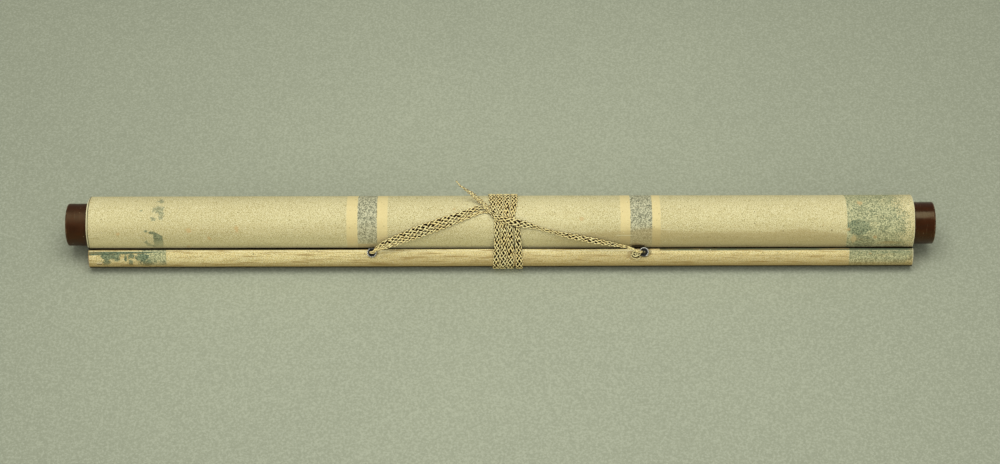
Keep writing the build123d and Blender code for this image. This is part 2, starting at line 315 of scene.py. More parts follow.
class Shader:
    """A material's node tree, written as short calls. Its tone is the colour so far."""

    def __init__(self, name):
        self.material = bpy.data.materials.new(name)
        self.material.use_nodes = True
        self.tree = self.material.node_tree
        self.tree.nodes.clear()
        self.tone = None
        self.surface = self.node("ShaderNodeBsdfPrincipled")
        self.node("ShaderNodeOutputMaterial", {0: self.surface.outputs[0]})
        place = self.node("ShaderNodeTexCoord").outputs["Object"]
        self.place = self.value("ShaderNodeVectorMath", {0: place, "Scale": 1 / MM}, operation="SCALE")
        self.x, self.y, self.z = self.node("ShaderNodeSeparateXYZ", {0: self.place}).outputs

    def node(self, kind, inputs=(), **settings):
        """A new node with its settings, and with values or links at its inputs."""
        made = self.tree.nodes.new(kind)
        for key, value in settings.items():
            setattr(made, key, value)
        self.put(made, inputs)
        return made

    def put(self, node, inputs):
        """Gives a node's inputs their values or links, by name or number or else in their order."""
        for key, value in inputs.items() if isinstance(inputs, dict) else enumerate(inputs):
            if isinstance(value, bpy.types.NodeSocket):
                self.tree.links.new(value, node.inputs[key])
            else:
                node.inputs[key].default_value = value

    def value(self, kind, inputs, **settings):
        """The first output of a new node."""
        return self.node(kind, inputs, **settings).outputs[0]

    def math(self, operation, *values):
        return self.value("ShaderNodeMath", values, operation=operation)

    def add(self, first, second):
        return self.math("ADD", first, second)

    def less(self, first, second):
        """The first value less the second."""
        return self.math("SUBTRACT", first, second)

    def scaled(self, value, factor, shift):
        """The value times a factor, plus a shift."""
        return self.math("MULTIPLY_ADD", value, factor, shift)

    def times(self, product, *others):
        for other in others:
            product = self.math("MULTIPLY", product, other)
        return product

    def most(self, largest, *others):
        for other in others:
            largest = self.math("MAXIMUM", largest, other)
        return largest

    def reach(self, first, second):
        """The length of a vector, from its two parts."""
        squares = [self.math("POWER", part, 2.0) for part in (first, second)]
        return self.math("SQRT", self.add(*squares))

    def step(self, value, low, high, bottom=0.0, top=1.0):
        """Goes smoothly from bottom to top as the value goes from low to high."""
        values = (value, low, high, bottom, top)
        return self.value("ShaderNodeMapRange", values, interpolation_type="SMOOTHSTEP")

    def between(self, value, low, high, soft):
        """1 between two limits, 0 outside, with soft edges."""
        rise = self.step(value, low - soft, low + soft)
        return self.times(rise, self.step(value, high - soft, high + soft, 1.0, 0.0))

    def mix(self, share, low, high):
        return self.node("ShaderNodeMix", {0: share, 6: low, 7: high}, data_type="RGBA").outputs[2]

    def lay(self, colour, *shares):
        """Lays a colour over the tone, by the product of the shares."""
        self.tone = self.mix(self.times(*shares), self.tone, colour)

    def noise(self, size, detail=3.0, rough=0.5, stretch=None, seed=0.0, warp=0.0):
        """Noise whose features are about size millimetres across."""
        place = self.place
        if stretch:
            place = self.value("ShaderNodeVectorMath", (place, stretch), operation="MULTIPLY")
        inputs = {"Vector": place, "W": seed, "Scale": 1 / size, "Detail": detail}
        inputs |= {"Roughness": rough, "Distortion": warp}
        return self.value("ShaderNodeTexNoise", inputs, noise_dimensions="4D")

    def spots(self, size, radius, share):
        """Scattered round spots: the cell's size, the spot's radius and the share of cells."""
        cells = self.node("ShaderNodeTexVoronoi", {"Vector": self.place, "Scale": 1 / size})
        chosen = self.node("ShaderNodeSeparateColor", {0: cells.outputs["Color"]}).outputs
        distance = cells.outputs["Distance"]
        reach = self.times(chosen[1], radius / size)
        near = self.math("LESS_THAN", distance, reach)
        soft = self.step(self.math("DIVIDE", distance, reach), 0.4, 1.0, 1.0, 0.0)
        return self.times(near, self.math("LESS_THAN", chosen[0], share), soft)

    def attribute(self, name):
        return self.node("ShaderNodeAttribute", attribute_name=name).outputs["Fac"]

    def bump(self, *layers):
        """Stacks height layers, each as (height, depth in millimetres)."""
        normal = {}
        for height, depth in layers:
            inputs = {"Distance": depth * MM, "Height": height}
            normal = {"Normal": self.value("ShaderNodeBump", inputs | normal)}
        self.put(self.surface, normal)

    def finish(self, roughness, metallic=0.0, specular=0.5):
        inputs = {"Base Color": self.tone, "Roughness": roughness, "Metallic": metallic}
        self.put(self.surface, inputs | {"Specular IOR Level": specular})
        return self.material


CREAM = rgb(231, 221, 164)
CREAM_DARK = rgb(216, 205, 148)
CREAM_LIGHT = rgb(238, 232, 186)
CREAM_BAND = rgb(240, 222, 158)
CREAM_BRIGHT = rgb(252, 246, 206)
BAND_FOOT = rgb(196, 160, 106)
STAVE_CREAM = rgb(241, 220, 149)
GRAIN_DARK = rgb(168, 156, 100)
GREY_BAND = rgb(222, 221, 182)
GREY_BAND_DARK = rgb(98, 104, 84)
SILK_DEEP = rgb(62, 86, 66)
SILK_DARK = rgb(88, 106, 76)
SILK_MIDDLE = rgb(146, 162, 126)
SILK_PALE = rgb(222, 222, 170)
FOXING = rgb(206, 146, 78)
RUST = rgb(206, 158, 90)
RUST_PALE = rgb(212, 168, 104)
FLECK = rgb(84, 62, 30)
FLECK_SOFT = rgb(128, 112, 64)
# Laid as fibre streaks, and as painted shade where the stave faces down
STREAK_AND_SHADE = rgb(162, 134, 76)
# Laid as soil at the sheet's ends, as painted shade low on the roll's right half, and to darken the
# roll's lower front
SOIL_AND_SHADE = rgb(178, 158, 104)
BROWN = rgb(142, 112, 70)
# The near-black brown of painted shade: in the groove, under the stave, in the slit, at the sheet's
# left end, round the washers and by the knot
GROOVE_SHADE = rgb(38, 32, 16)
GROOVE_GREEN = rgb(68, 82, 60)

# Bands on the roll: where the pale one starts, the grey one starts and ends, the pale one ends,
# and the foot of the grey one up the lay plane
BANDS = [(-101.2, -94.0, -81.2, -74.3, -13.1), (78.9, 85.4, 99.7, 105.2, -30.0)]

# Spots, as (along, up the lay plane, half width, half height) and for some the raggedness:
# islands of worn silk at the left end, rust, and brown stains and painted shadows near the eyes
STAVE_ISLANDS = [
    (-259.2, -21.2, 4.2, 2.2), (-253.6, -21.6, 2.4, 2.4), (-259.6, -25.2, 2.4, 1.5),
    (-247.4, -22.2, 0.9, 2.2), (-243.6, -21.0, 1.8, 1.6), (-244.0, -25.2, 1.4, 1.5),
    (-236.4, -21.4, 4.0, 2.6), (-233.6, -25.4, 4.2, 1.8),
]
ROLL_ISLANDS = [
    (-233.4, -11.8, 1.3, 1.1), (-231.3, -13.5, 1.8, 0.9), (-228.8, -14.2, 1.8, 0.8),
    (-233.0, -4.6, 1.3, 0.8), (-229.4, -5.6, 1.8, 1.0),
]
PALE_ISLANDS = [
    (-223.5, 15.2, 2.3, 1.3), (-224.6, 9.8, 3.2, 2.3), (-222.7, 6.0, 1.8, 3.2),
    (-228.2, 3.7, 1.7, 1.0), (-236.3, 9.0, 0.9, 0.5),
]
RUST_SPOTS = [
    (-204.8, -4.0, 1.7, 1.3), (-173.2, -3.2, 1.5, 2.1), (-191.6, -9.2, 1.4, 1.0),
    (-251.4, -6.4, 1.0, 0.9), (53.4, 3.0, 1.7, 1.2),
]
PALE_RUST_SPOTS = [(228.6, -4.2, 1.3, 1.0), (236.5, 12.9, 1.6, 1.1), (244.0, -20.2, 1.0, 0.5)]
# Near the right eye and knot: brown stains with painted shade, then painted shadows
STAINS_AND_SHADOW_NEAR_KNOT = [(89.5, -15.4, 6.0, 2.2, 1.0), (88.0, -21.0, 5.5, 3.2, 1.4)]
SHADOWS_NEAR_KNOT = [(90.5, -14.9, 4.6, 0.9, 1.0), (88.4, -19.9, 2.3, 1.4, 1.0)]
# Painted shadows on the stave round both washers
WASHER_SHADOWS = [(95.5, -19.0, 4.0, 3.6, 0.8), (-84.3, -18.9, 3.8, 3.4, 0.8)]

# The slit at the left end, painted as a line of shade with a highlight under it, as (colour, lower and
# upper limit, strength)
SLIT_LINES = [(GROOVE_SHADE, -26.5, -26.0, 0.95), (CREAM_BRIGHT, -25.8, -25.2, 0.8)]

# Flecks all over, as (colour, cell, radius, share of cells, strength)
FLECKS = [
    (FLECK, 3.2, 0.62, 0.20, 0.85),
    (FLECK_SOFT, 1.6, 0.52, 0.40, 0.75),
    (CREAM_BRIGHT, 2.3, 0.55, 0.30, 0.6),
    (FOXING, 2.0, 0.42, 0.2, 0.4),
]


class Paper(Shader):
    """Aged mounting paper: bands, worn silk strips, soil, foxing and flecks over its ground, with
    painted shade and painted highlights along the groove, creases, edges and round the eyes.
    """

    def __init__(self):
        super().__init__("mounting_paper")
        self.on_stave = self.attribute("on_stave")
        self.on_roll = self.less(1.0, self.on_stave)
        self.facing = self.attribute("facing")
        height = self.less(self.z, AXIS_HEIGHT)
        ahead = self.times(self.y, -1.0)
        self.rise = self.times(self.math("ARCTAN2", height, ahead), 180 / pi)
        self.up = self.times(self.add(self.y, height), sqrt(0.5))
        self.front = self.step(self.rise, 128.0, 124.0)
        self.cloud = self.noise(70.0, 4.0, 0.6)
        self.mottle = self.noise(6.0, 5.0, 0.65, seed=2.0)
        self.grain = self.noise(0.5, 2.0, 0.6, seed=5.0)
        self.speckle = self.noise(0.82, 3.0, 0.85, seed=3.0)
        self.fibre = self.noise(1.2, 4.0, 0.62, stretch=(0.06, 1.0, 1.0), seed=17.0)
        self.worn = self.noise(5.0, 6.0, 0.75, stretch=(1.0, 1.2, 1.2), seed=11.0, warp=0.6)
        self.ragged = self.less(self.noise(1.4, 4.0, 0.7, seed=9.0), 0.5)
        self.shifted = self.add(self.x, self.ragged)
        self.wear = self.add(self.times(self.worn, 0.36), self.times(self.speckle, 0.64))
        self.dark_silk = self.mix(self.step(self.speckle, 0.42, 0.60), SILK_DEEP, SILK_MIDDLE)
        self.lay_base()
        self.lay_bands()
        self.lay_silk()
        self.lay_lip()
        self.lay_soil()
        self.lay_marks()
        self.lay_groove()
        wrinkle = self.noise(5.0, 4.0, 0.55, stretch=(0.16, 1.0, 1.0), seed=21.0)
        crumple = self.noise(22.0, 3.0, 0.5, stretch=(0.5, 1.0, 1.0), seed=23.0)
        self.bump((crumple, 1.0), (wrinkle, 0.35), (self.fibre, 0.12), (self.grain, 0.12))
        self.finish(self.step(self.mottle, 0.3, 0.7, 0.62, 0.80), specular=0.25)

    def island(self, along, high, wide, tall, ragged=3.4, edge=0.07):
        """A ragged spot at a place of the lay plane."""
        far = self.math("DIVIDE", self.less(self.x, along), wide)
        rise = self.math("DIVIDE", self.less(self.up, high), tall)
        reach = self.add(self.reach(far, rise), self.times(self.ragged, ragged))
        return self.step(reach, 1.0 - edge, 1.0 + edge, 1.0, 0.0)

    def islands(self, places, *shape):
        return self.most(*[self.island(*place, *shape) for place in places])

    def block(self, left, right, end, low, high, soft):
        """A straight mark of the lay plane, with the softness of its ends and of its sides."""
        rows = self.between(self.up, low, high, soft)
        return self.times(self.between(self.x, left, right, end), rows)

    def kept(self, cover):
        """Where silk is left: the wear noise is under its cover."""
        return self.step(self.less(cover, self.wear), -0.02, 0.02)

    def lay_base(self):
        """The ground colour, warmer on the stave, with its mottling and grain."""
        self.tone = self.mix(self.step(self.cloud, 0.32, 0.68), CREAM_DARK, CREAM)
        self.lay(STAVE_CREAM, self.on_stave)
        self.lay(CREAM_DARK, self.step(self.mottle, 0.42, 0.75, 0.0, 0.40))
        self.lay(GRAIN_DARK, self.step(self.grain, 0.50, 0.60, 0.0, 0.76))
        self.lay(CREAM_LIGHT, self.step(self.grain, 0.50, 0.40, 0.0, 0.90))

    def lay_bands(self):
        """Crosswise bands on the roll: a grey strip between two paler ones, near each eye."""
        grey = self.mix(self.step(self.speckle, 0.42, 0.58), GREY_BAND_DARK, GREY_BAND)
        for pale_from, grey_from, grey_to, pale_to, foot in BANDS:
            pale = self.times(self.between(self.shifted, pale_from, pale_to, 0.35), self.on_roll)
            self.lay(CREAM_BAND, pale, 0.8)
            self.lay(BAND_FOOT, pale, self.step(self.up, -6.0, -13.0, 0.0, 0.35))
            strip = self.times(self.between(self.shifted, grey_from, grey_to, 0.25), self.on_roll)
            self.lay(grey, strip, self.step(self.up, foot - 0.3, foot + 0.3), 0.94)
            self.lay(BROWN, strip, self.step(self.up, foot + 0.4, foot - 0.2, 0.0, 0.6))

    def lay_silk(self):
        """Worn silk: what is left of the strips at both ends."""
        silk = self.mix(self.step(self.speckle, 0.40, 0.60), SILK_DARK, SILK_PALE)
        silk = self.mix(self.step(self.worn, 0.48, 0.36, 0.0, 0.6), silk, SILK_DEEP)
        silk = self.mix(self.step(self.worn, 0.54, 0.66, 0.0, 0.5), silk, CREAM_DARK)

        hole = self.island(232.4, -10.4, 1.7, 3.0)
        right_roll = self.times(self.between(self.shifted, 227.8, 300.0, 0.3), self.on_roll)
        right_roll = self.times(right_roll, self.less(1.0, hole))
        cover = self.step(self.x, 248.0, 276.0, 0.66, 0.43)
        cover = self.add(cover, self.step(self.up, 4.0, 10.0, 0.0, -0.05))
        self.lay(silk, right_roll, self.kept(cover), 0.88)
        low_blotch = self.times(self.island(238.5, -12.2, 7.5, 3.6, 1.4), 0.75)
        blotch = self.most(self.island(235.0, -3.0, 8.0, 5.0, 1.2), low_blotch)
        self.lay(self.dark_silk, right_roll, blotch, self.front, 0.6)

        right_stave = self.times(self.between(self.shifted, 230.0, 300.0, 0.3), self.on_stave)
        cover = self.step(self.x, 256.0, 274.0, 0.66, 0.48)
        cover = self.add(cover, self.step(self.up, -23.0, -20.0, 0.0, 0.10))
        self.lay(silk, right_stave, self.kept(cover), 0.9)
        self.lay(SILK_DEEP, right_stave, self.step(self.up, -22.5, -20.0, 0.0, 0.34))

        left_stave = self.times(
            self.between(self.shifted, -239.4, -220.6, 0.4),
            self.on_stave,
            self.step(self.up, -27.6, -26.6),
            self.kept(self.step(self.x, -239.0, -230.0, 0.50, 0.60)),
        )
        patches = self.kept(self.scaled(self.islands(STAVE_ISLANDS, 3.0, 0.45), 0.19, 0.43))
        patches = self.times(patches, self.between(self.shifted, -266.0, -224.0, 3.0), self.on_stave)
        self.lay(silk, left_stave, 0.92)
        self.lay(self.dark_silk, patches, 0.92)

        slope = self.scaled(self.x, -0.52, -0.52 * 227.5 - 4.9)
        column = self.times(
            self.between(self.scaled(self.ragged, 2.5, self.x), -228.2, -222.1, 0.3),
            self.step(self.less(self.up, slope), -0.15, 0.15, 1.0, 0.0),
            self.step(self.up, -15.2, -13.4, 0.25, 1.0),
        )
        pieces = self.times(self.most(column, self.islands(ROLL_ISLANDS)), self.on_roll, self.front)
        self.lay(self.dark_silk, pieces, self.kept(0.60), 0.92)
        pieces = self.times(self.islands(PALE_ISLANDS, 4.6), self.on_roll, self.front)
        self.lay(self.dark_silk, pieces, self.step(self.x, -220.6, -220.9), self.kept(0.56), 0.6)

        self.right_roll = right_roll
        self.right_silk = self.most(right_roll, right_stave)
        self.bare = self.less(1.0, self.times(self.most(self.right_silk, left_stave, patches), 0.8))

    def lay_lip(self):
        """The stave's upper corner: a painted highlight along its lip, painted shade in the corner
        left of the middle, silk left at the ends.
        """
        # Painted highlight: a pale band along the stave's upper side, stronger in the middle.
        lip_highlight = self.times(self.between(self.facing, 0.10, 0.28, 0.03), self.on_stave)
        self.lay(CREAM_LIGHT, lip_highlight, self.between(self.x, -80.0, 90.0, 20.0), 0.35)
        self.lay(CREAM_LIGHT, lip_highlight, 0.55)
        # Painted shade: dark in the stave's upper corner by the groove, left of the middle.
        corner_shade = self.times(self.step(self.facing, 0.50, 0.64), self.on_stave, 0.9)
        self.lay(GROOVE_SHADE, corner_shade, self.between(self.shifted, -300.0, -78.0, 8.0))
        narrow = self.step(self.x, -270.0, -206.0, -0.08, 0.12)
        strip = self.less(self.scaled(self.ragged, 0.10, self.facing), narrow)
        strip = self.times(self.step(strip, -0.01, 0.01), self.step(self.facing, 0.13, 0.10))
        strip = self.times(strip, self.step(self.shifted, -184.0, -206.0), self.on_stave, 0.95)
        self.lay(self.mix(0.45, self.dark_silk, SILK_DEEP), strip)
        strip = self.times(self.step(self.facing, 0.09, 0.14), self.on_stave, 0.92)
        self.lay(GROOVE_GREEN, strip, self.between(self.shifted, 104.9, 300.0, 0.5))

    def lay_soil(self):
        """Fibres and streaks, a darker lower front, painted light and shade low on the roll, painted
        highlights along two creases, stains and painted shadows near the eyes, a slit at the left end
        painted as shade and highlight, and soil at the ends.
        """
        self.lay(STREAK_AND_SHADE, self.step(self.fibre, 0.49, 0.66, 0.0, 0.80), self.on_stave, self.bare)
        self.lay(STREAK_AND_SHADE, self.step(self.fibre, 0.56, 0.75, 0.0, 0.22), self.on_roll)
        # Darker and browner lower down the roll's front.
        self.lay(SOIL_AND_SHADE, self.step(self.rise, 54.0, 30.0, 0.0, 0.18), self.on_roll, self.bare)
        # Painted light: paler on the roll's lowest front, just above the stave, where the stave shades
        # it.
        self.lay(CREAM, self.step(self.rise, 16.0, -4.0, 0.0, 0.40), self.on_roll, self.bare)
        low = self.times(self.step(self.rise, 14.0, 4.0), self.right_roll, 0.6)
        self.lay(STREAK_AND_SHADE, self.step(self.fibre, 0.50, 0.62), low)
        # Painted shade: darker low on the roll's right half, below a wavy line.
        shade = self.scaled(self.less(self.cloud, 0.5), 60.0, self.rise)
        shade = self.times(self.step(shade, 33.0, 22.0), self.step(self.x, 10.0, 60.0, 0.0, 0.52))
        self.lay(SOIL_AND_SHADE, shade, self.on_roll, self.bare)
        # Painted highlights: thin pale lines along two creases on the roll's right.
        crease_highlights = (
            self.block(76.0, 87.0, 1.0, -8.1, -7.7, 0.2),
            self.block(105.5, 112.0, 1.0, -4.4, -4.0, 0.2),
        )
        self.lay(CREAM_LIGHT, self.most(*crease_highlights), self.front, 0.6)
        # Brown stains with painted shade by the right eye and knot, then painted shadows: a dark wedge
        # at the roll's lower edge beside the eye, and dark inside the knot's loops.
        self.lay(BROWN, self.islands(STAINS_AND_SHADOW_NEAR_KNOT), self.front, 0.40)
        self.lay(GROOVE_SHADE, self.islands(SHADOWS_NEAR_KNOT), self.front, 0.8)
        # Painted shadows on the stave round both washers.
        self.lay(GROOVE_SHADE, self.islands(WASHER_SHADOWS), self.on_stave, 0.5)
        # The slit, painted: a line of shade and a highlight just below it.
        for colour, low, high, strength in SLIT_LINES:
            slit = self.block(-266.6, -263.1, 0.3, low, high, 0.15)
            self.lay(colour, slit, self.on_stave, strength)
        outermost = self.math("ABSOLUTE", self.x)
        ends = self.step(outermost, SHEET_WIDTH / 2 - 4.0, SHEET_WIDTH / 2, 0.0, 0.35)
        self.lay(SOIL_AND_SHADE, ends, self.step(self.mottle, 0.35, 0.6))

    def lay_marks(self):
        """Foxing, rust, flecks and the sheet's ends: a painted shade line at the left end and a
        painted highlight at the right.
        """
        self.lay(FOXING, self.spots(16.0, 2.2, 0.40), self.step(self.grain, 0.60, 0.42), 0.55)
        self.lay(RUST, self.islands(RUST_SPOTS), self.front, self.on_roll, 0.38)
        self.lay(RUST_PALE, self.islands(PALE_RUST_SPOTS), self.front, 0.45)
        self.lay(SILK_DEEP, self.spots(1.5, 0.5, 0.45), self.right_silk, 0.6)
        for colour, cell, radius, share, strength in FLECKS:
            self.lay(colour, self.spots(cell, radius, share), strength)
        # The sheet's ends: a painted shade line on the left end's outer turn, a painted highlight
        # along the right end, and paler inner turns.
        rim = self.attribute("rim")
        left = self.step(self.x, 0.0, -1.0)
        right = self.step(self.x, 0.0, 1.0)
        self.lay(GROOVE_SHADE, self.step(rim, 0.80, 0.90), left, self.on_roll, 0.8)
        self.lay(CREAM_LIGHT, self.step(rim, 0.82, 0.94), right, 0.7)
        self.lay(CREAM_LIGHT, self.attribute("inner_turn"), 0.7)

    def lay_groove(self):
        """Painted shade: darker on the stave's lower side, dark under the stave and in the groove
        between it and the roll.
        """
        middle = self.step(self.x, -120.0, -60.0, 0.0, 0.30)
        # Painted shade: darker where the stave faces below level, more so further down.
        self.lay(STREAK_AND_SHADE, self.step(self.facing, -0.02, -0.16), middle, self.on_stave, self.bare)
        self.lay(STREAK_AND_SHADE, self.step(self.facing, -0.28, -0.74, 0.0, 0.56), self.on_stave)
        # Painted shade: dark along the stave's underside, on the roll in the groove above the stave,
        # and where the sheet's groove value marks the stave's upper corner.
        under = self.times(self.step(self.facing, -0.82, -0.93), self.on_stave, 0.96)
        edge = self.scaled(self.between(self.x, -75.0, 76.0, 8.0), 4.0, self.rise)
        edge = self.scaled(self.step(self.x, 76.0, 84.0), 1.4, edge)
        low = self.times(self.between(edge, -60.0, -13.4, 1.1), self.on_roll)
        self.lay(GROOVE_SHADE, self.most(low, under, self.attribute("groove")))


def lacquer_material():
    """Dark red-brown lacquer on turned wood, worn at the rim, with fine turned lines."""
    knob = Shader("knob_lacquer")
    cloud = knob.noise(9.0, 4.0, 0.6)
    grain = knob.noise(1.2, 4.0, 0.6, stretch=(0.12, 1.0, 1.0), seed=3.0)
    scratch = knob.noise(0.5, 3.0, 0.6, stretch=(1.0, 0.05, 0.05), seed=7.0)
    chips = knob.noise(1.6, 3.0, seed=9.0)
    lines = knob.noise(0.55, 2.0, 0.5, stretch=(1.0, 0.03, 0.03), seed=5.0)
    knob.tone = knob.mix(knob.step(cloud, 0.3, 0.7), rgb(46, 15, 2), rgb(62, 24, 4))
    knob.lay(rgb(40, 22, 12), knob.step(grain, 0.45, 0.75, 0.0, 0.5))
    knob.lay(rgb(128, 104, 74), knob.step(scratch, 0.60, 0.72, 0.0, 0.35))
    knob.lay(rgb(172, 150, 112), knob.spots(2.6, 0.45, 0.30), 0.7)
    knob.lay(rgb(150, 122, 84), knob.attribute("rim"), knob.step(chips, 0.45, 0.62, 0.1, 0.6))
    knob.bump((lines, 0.03), (grain, 0.02))
    duller_left = knob.step(knob.x, 0.0, -1.0, 0.0, 0.22)
    roughness = knob.add(knob.step(cloud, 0.3, 0.7, 0.20, 0.30), duller_left)
    knob.surface.inputs["Specular Tint"].default_value = (1.0, 0.86, 0.48, 1.0)
    return knob.finish(roughness, specular=0.48)


def wood_material(name, light, dark):
    """Plain softwood: long grain along the roll, rings on the end."""
    wood = Shader(name)
    grain = wood.noise(1.0, 4.0, 0.6, stretch=(0.04, 1.0, 1.0))
    rings = wood.noise(2.2, 2.0, 0.5, stretch=(0.02, 0.35, 1.0), seed=4.0)
    wood.tone = wood.mix(wood.step(grain, 0.35, 0.7), light, dark)
    wood.lay(dark, wood.step(rings, 0.45, 0.6, 0.0, 0.5))
    wood.bump((grain, 0.08))
    return wood.finish(wood.step(grain, 0.3, 0.7, 0.6, 0.75), specular=0.3)


def metal_material(name, light, dark):
    """Thin, dulled plating on wire and washers, near black by the washers' hollow value: tarnish and
    painted shade in the dish, painted shade between the rim's notches and on one side.
    """
    metal = Shader(name)
    cloud = metal.noise(0.9, 4.0, 0.6)
    dull = metal.noise(0.35, 3.0, seed=3.0)
    hollow = metal.attribute("hollow")
    metal.tone = metal.mix(metal.step(cloud, 0.35, 0.7), light, dark)
    metal.lay(rgb(84, 78, 58), metal.step(dull, 0.55, 0.75, 0.0, 0.6))
    # The hollow value lays near black: tarnish and painted shade in the washers' dishes, painted shade
    # in the notches and on one side.
    metal.lay(rgb(12, 9, 5), hollow)
    metal.bump((metal.noise(0.3, 2.0, 0.5, seed=5.0), 0.04))
    roughness = metal.most(metal.step(cloud, 0.3, 0.7, 0.26, 0.48), hollow)
    return metal.finish(roughness, metallic=0.25, specular=0.45)


def yarn_material():
    """Straw-coloured yarn with painted light and shade: pale on top, painted shade down its sides and
    in the crevices of the braid.
    """
    yarn = Shader("braid_yarn")
    height = yarn.attribute("height")
    cloud = yarn.noise(9.0, 3.0, 0.6)
    fuzz = yarn.noise(0.45, 4.0, 0.7, seed=3.0)
    stain = yarn.noise(3.0, 3.0, 0.6, seed=6.0)
    yarn.tone = yarn.mix(yarn.step(cloud, 0.35, 0.65), rgb(255, 245, 182), rgb(255, 236, 164))
    yarn.lay(rgb(192, 168, 98), yarn.step(stain, 0.52, 0.72, 0.0, 0.22))
    yarn.lay(rgb(160, 134, 72), yarn.step(fuzz, 0.45, 0.75, 0.0, 0.20))
    # Painted light and shade from the tube's height value: pale tops, brown down the sides, near black
    # underneath and where a yarn passes under.
    yarn.lay(rgb(140, 96, 26), yarn.step(height, 0.66, 1.02, 0.90, 0.0))
    yarn.lay(rgb(24, 15, 2), yarn.step(height, 0.32, 0.80, 0.98, 0.0))
    yarn.bump((fuzz, 0.10))
    return yarn.finish(0.85, specular=0.15)


def shadow_yarn_material():
    """The inner yarns of the braid, near black: painted shade seen through the braid's gaps."""
    yarn = Shader("braid_inside")
    yarn.tone = yarn.mix(yarn.noise(0.7, 3.0), rgb(9, 6, 2), rgb(22, 15, 5))
    yarn.bump((yarn.noise(0.4, 2.0, seed=2.0), 0.1))
    return yarn.finish(0.9, specular=0.1)


def floor_material():
    """Plain grey-green backdrop paper with a faint tooth, darker away from the middle as painted light
    fall-off. Past the view it turns pale.
    """
    floor = Shader("backdrop")
    cloud = floor.noise(160.0, 3.0, 0.5)
    tooth = floor.noise(1.5, 3.0, 0.8, seed=4.0)
    away = floor.reach(floor.x, floor.y)
    floor.tone = floor.mix(floor.step(cloud, 0.3, 0.7), rgb(173, 179, 155), rgb(177, 183, 158))
    # Painted shade: the light's fall-off away from the middle.
    floor.lay(rgb(154, 160, 138), floor.step(away, 120.0, 420.0, 0.0, 0.55))
    floor.lay(rgb(224, 228, 210), floor.step(away, 500.0, 1500.0))
    floor.lay(rgb(142, 148, 126), floor.step(tooth, 0.44, 0.60, 0.0, 0.40))
    floor.lay(rgb(196, 202, 178), floor.step(tooth, 0.50, 0.38, 0.0, 0.34))
    return floor.finish(0.9, specular=0.1)


# Camera

def make_camera():
    """A long lens aimed just below the roller's axis, at the photograph's angle."""
    up = Vector((0, sin(LAY_TILT), cos(LAY_TILT)))
    back = Vector((0, -cos(LAY_TILT), sin(LAY_TILT)))
    aim = Vector((VIEW_SIDE, 0, AXIS_HEIGHT)) - up * VIEW_DROP
    data = bpy.data.cameras.new("camera")
    data.lens = LENS
    data.sensor_width = SENSOR_WIDTH
    data.clip_start, data.clip_end = VIEW_CLIP
    camera = add_object("camera", data)
    pitch = Matrix.Rotation(radians(90 - LAY_ANGLE), 4, "X")
    rotation = pitch @ Matrix.Rotation(radians(VIEW_ROLL), 4, "Z")
    camera.matrix_world = Matrix.Translation((aim + back * VIEW_DISTANCE) * MM) @ rotation
    bpy.context.scene.camera = camera


# Where the eyes stand

eye_tilt = asin(EYE_RISE / SIDE_RADIUS)
foot_along = SIDE_SHIFT - (SIDE_RADIUS + WRAP) * cos(eye_tilt)
foot_out = (SIDE_RADIUS + WRAP) * sin(eye_tilt)
foot_y, foot_z = from_stave(foot_along, foot_out)
normal_y, normal_z = np.subtract(from_stave(-cos(eye_tilt), sin(eye_tilt)), from_stave(0, 0))
EYE_NORMAL = np.array([0.0, normal_y, normal_z])
EYE_UP = np.array([0.0, normal_z, -normal_y])


def eye_point(side, out=0.0):
    """The middle of an eye's foot, or a point straight out of it."""
    return np.array([EYE_PLACE[side], foot_y, foot_z]) + EYE_NORMAL * out


def loop_way(side):
    lean = radians(EYE_LEAN[side])
    return np.array([sin(lean), 0, 0]) + EYE_NORMAL * cos(lean)


LOOP_HEIGHT = WASHER_FLOOR + EYE_NECK + EYE_WIRE / 2 + EYE_LOOP_RADIUS
eye_top = {
    side: eye_point(side) + loop_way(side) * (LOOP_HEIGHT + EYE_LOOP_RADIUS) for side in EYE_PLACE
}


# Braids

STRAND_COUNT = 4
CELL = 4.4
YARN_WIDE = 0.35
YARN_HIGH = 0.34
YARN_STEP = 0.40
EDGE_ROUND = 0.96
CROSSING_LIFT = 0.75
DRIFT = 0.08
JITTER = 0.20
SHADE_LEVEL = 0.42
SHADE_SWING = 0.48
THINNEST = 0.7
LEAST_SWING = 0.12
TWISTED = {"lobes": 0.16, "twist": 1.7}


def braid(
    bundle, line, normals, widths, strands=STRAND_COUNT, cell=CELL, start=0.0, yarn=YARN_WIDE,
    dim=0.0, spread=0.85, thickest=1.0,
):
    """Strands that cross over and under each other along a line, each turning back at the
    edges. widths is the braid's width over all at each point of the line."""
    line, normals, side_way, widths, reach = resampled(line, YARN_STEP, normals, widths)
    size = np.clip(widths / strands / spread, THINNEST, thickest)
    swing = np.maximum(widths / 2 - yarn * size, LEAST_SWING)
    for strand in range(strands):
        drift = np.array([wander(far * 0.12, strand * 7.3, start * 0.31) for far in reach])
        jitter = np.array([wander(far * 0.35, strand * 3.1 + 40, start * 0.17) for far in reach])
        phase = (reach + start) / (strands * cell) + strand / strands + drift * DRIFT
        sideways = np.arcsin(EDGE_ROUND * np.cos(2 * pi * phase)) / asin(EDGE_ROUND)
        over = -np.cos(2 * strands * pi * phase) * np.clip(3 * np.sin(2 * pi * phase), -1, 1)
        path = (
            line
            + side_way * (sideways * swing + jitter * JITTER)[:, None]
            + normals * (over * YARN_HIGH * CROSSING_LIFT * size)[:, None]
        )
        shade = SHADE_LEVEL + SHADE_SWING * over - dim
        taper = size * (1 + 0.12 * jitter + 0.14 * over)
        bundle.tube(path, normals, yarn, YARN_HIGH, shade=shade, taper=taper, **TWISTED)


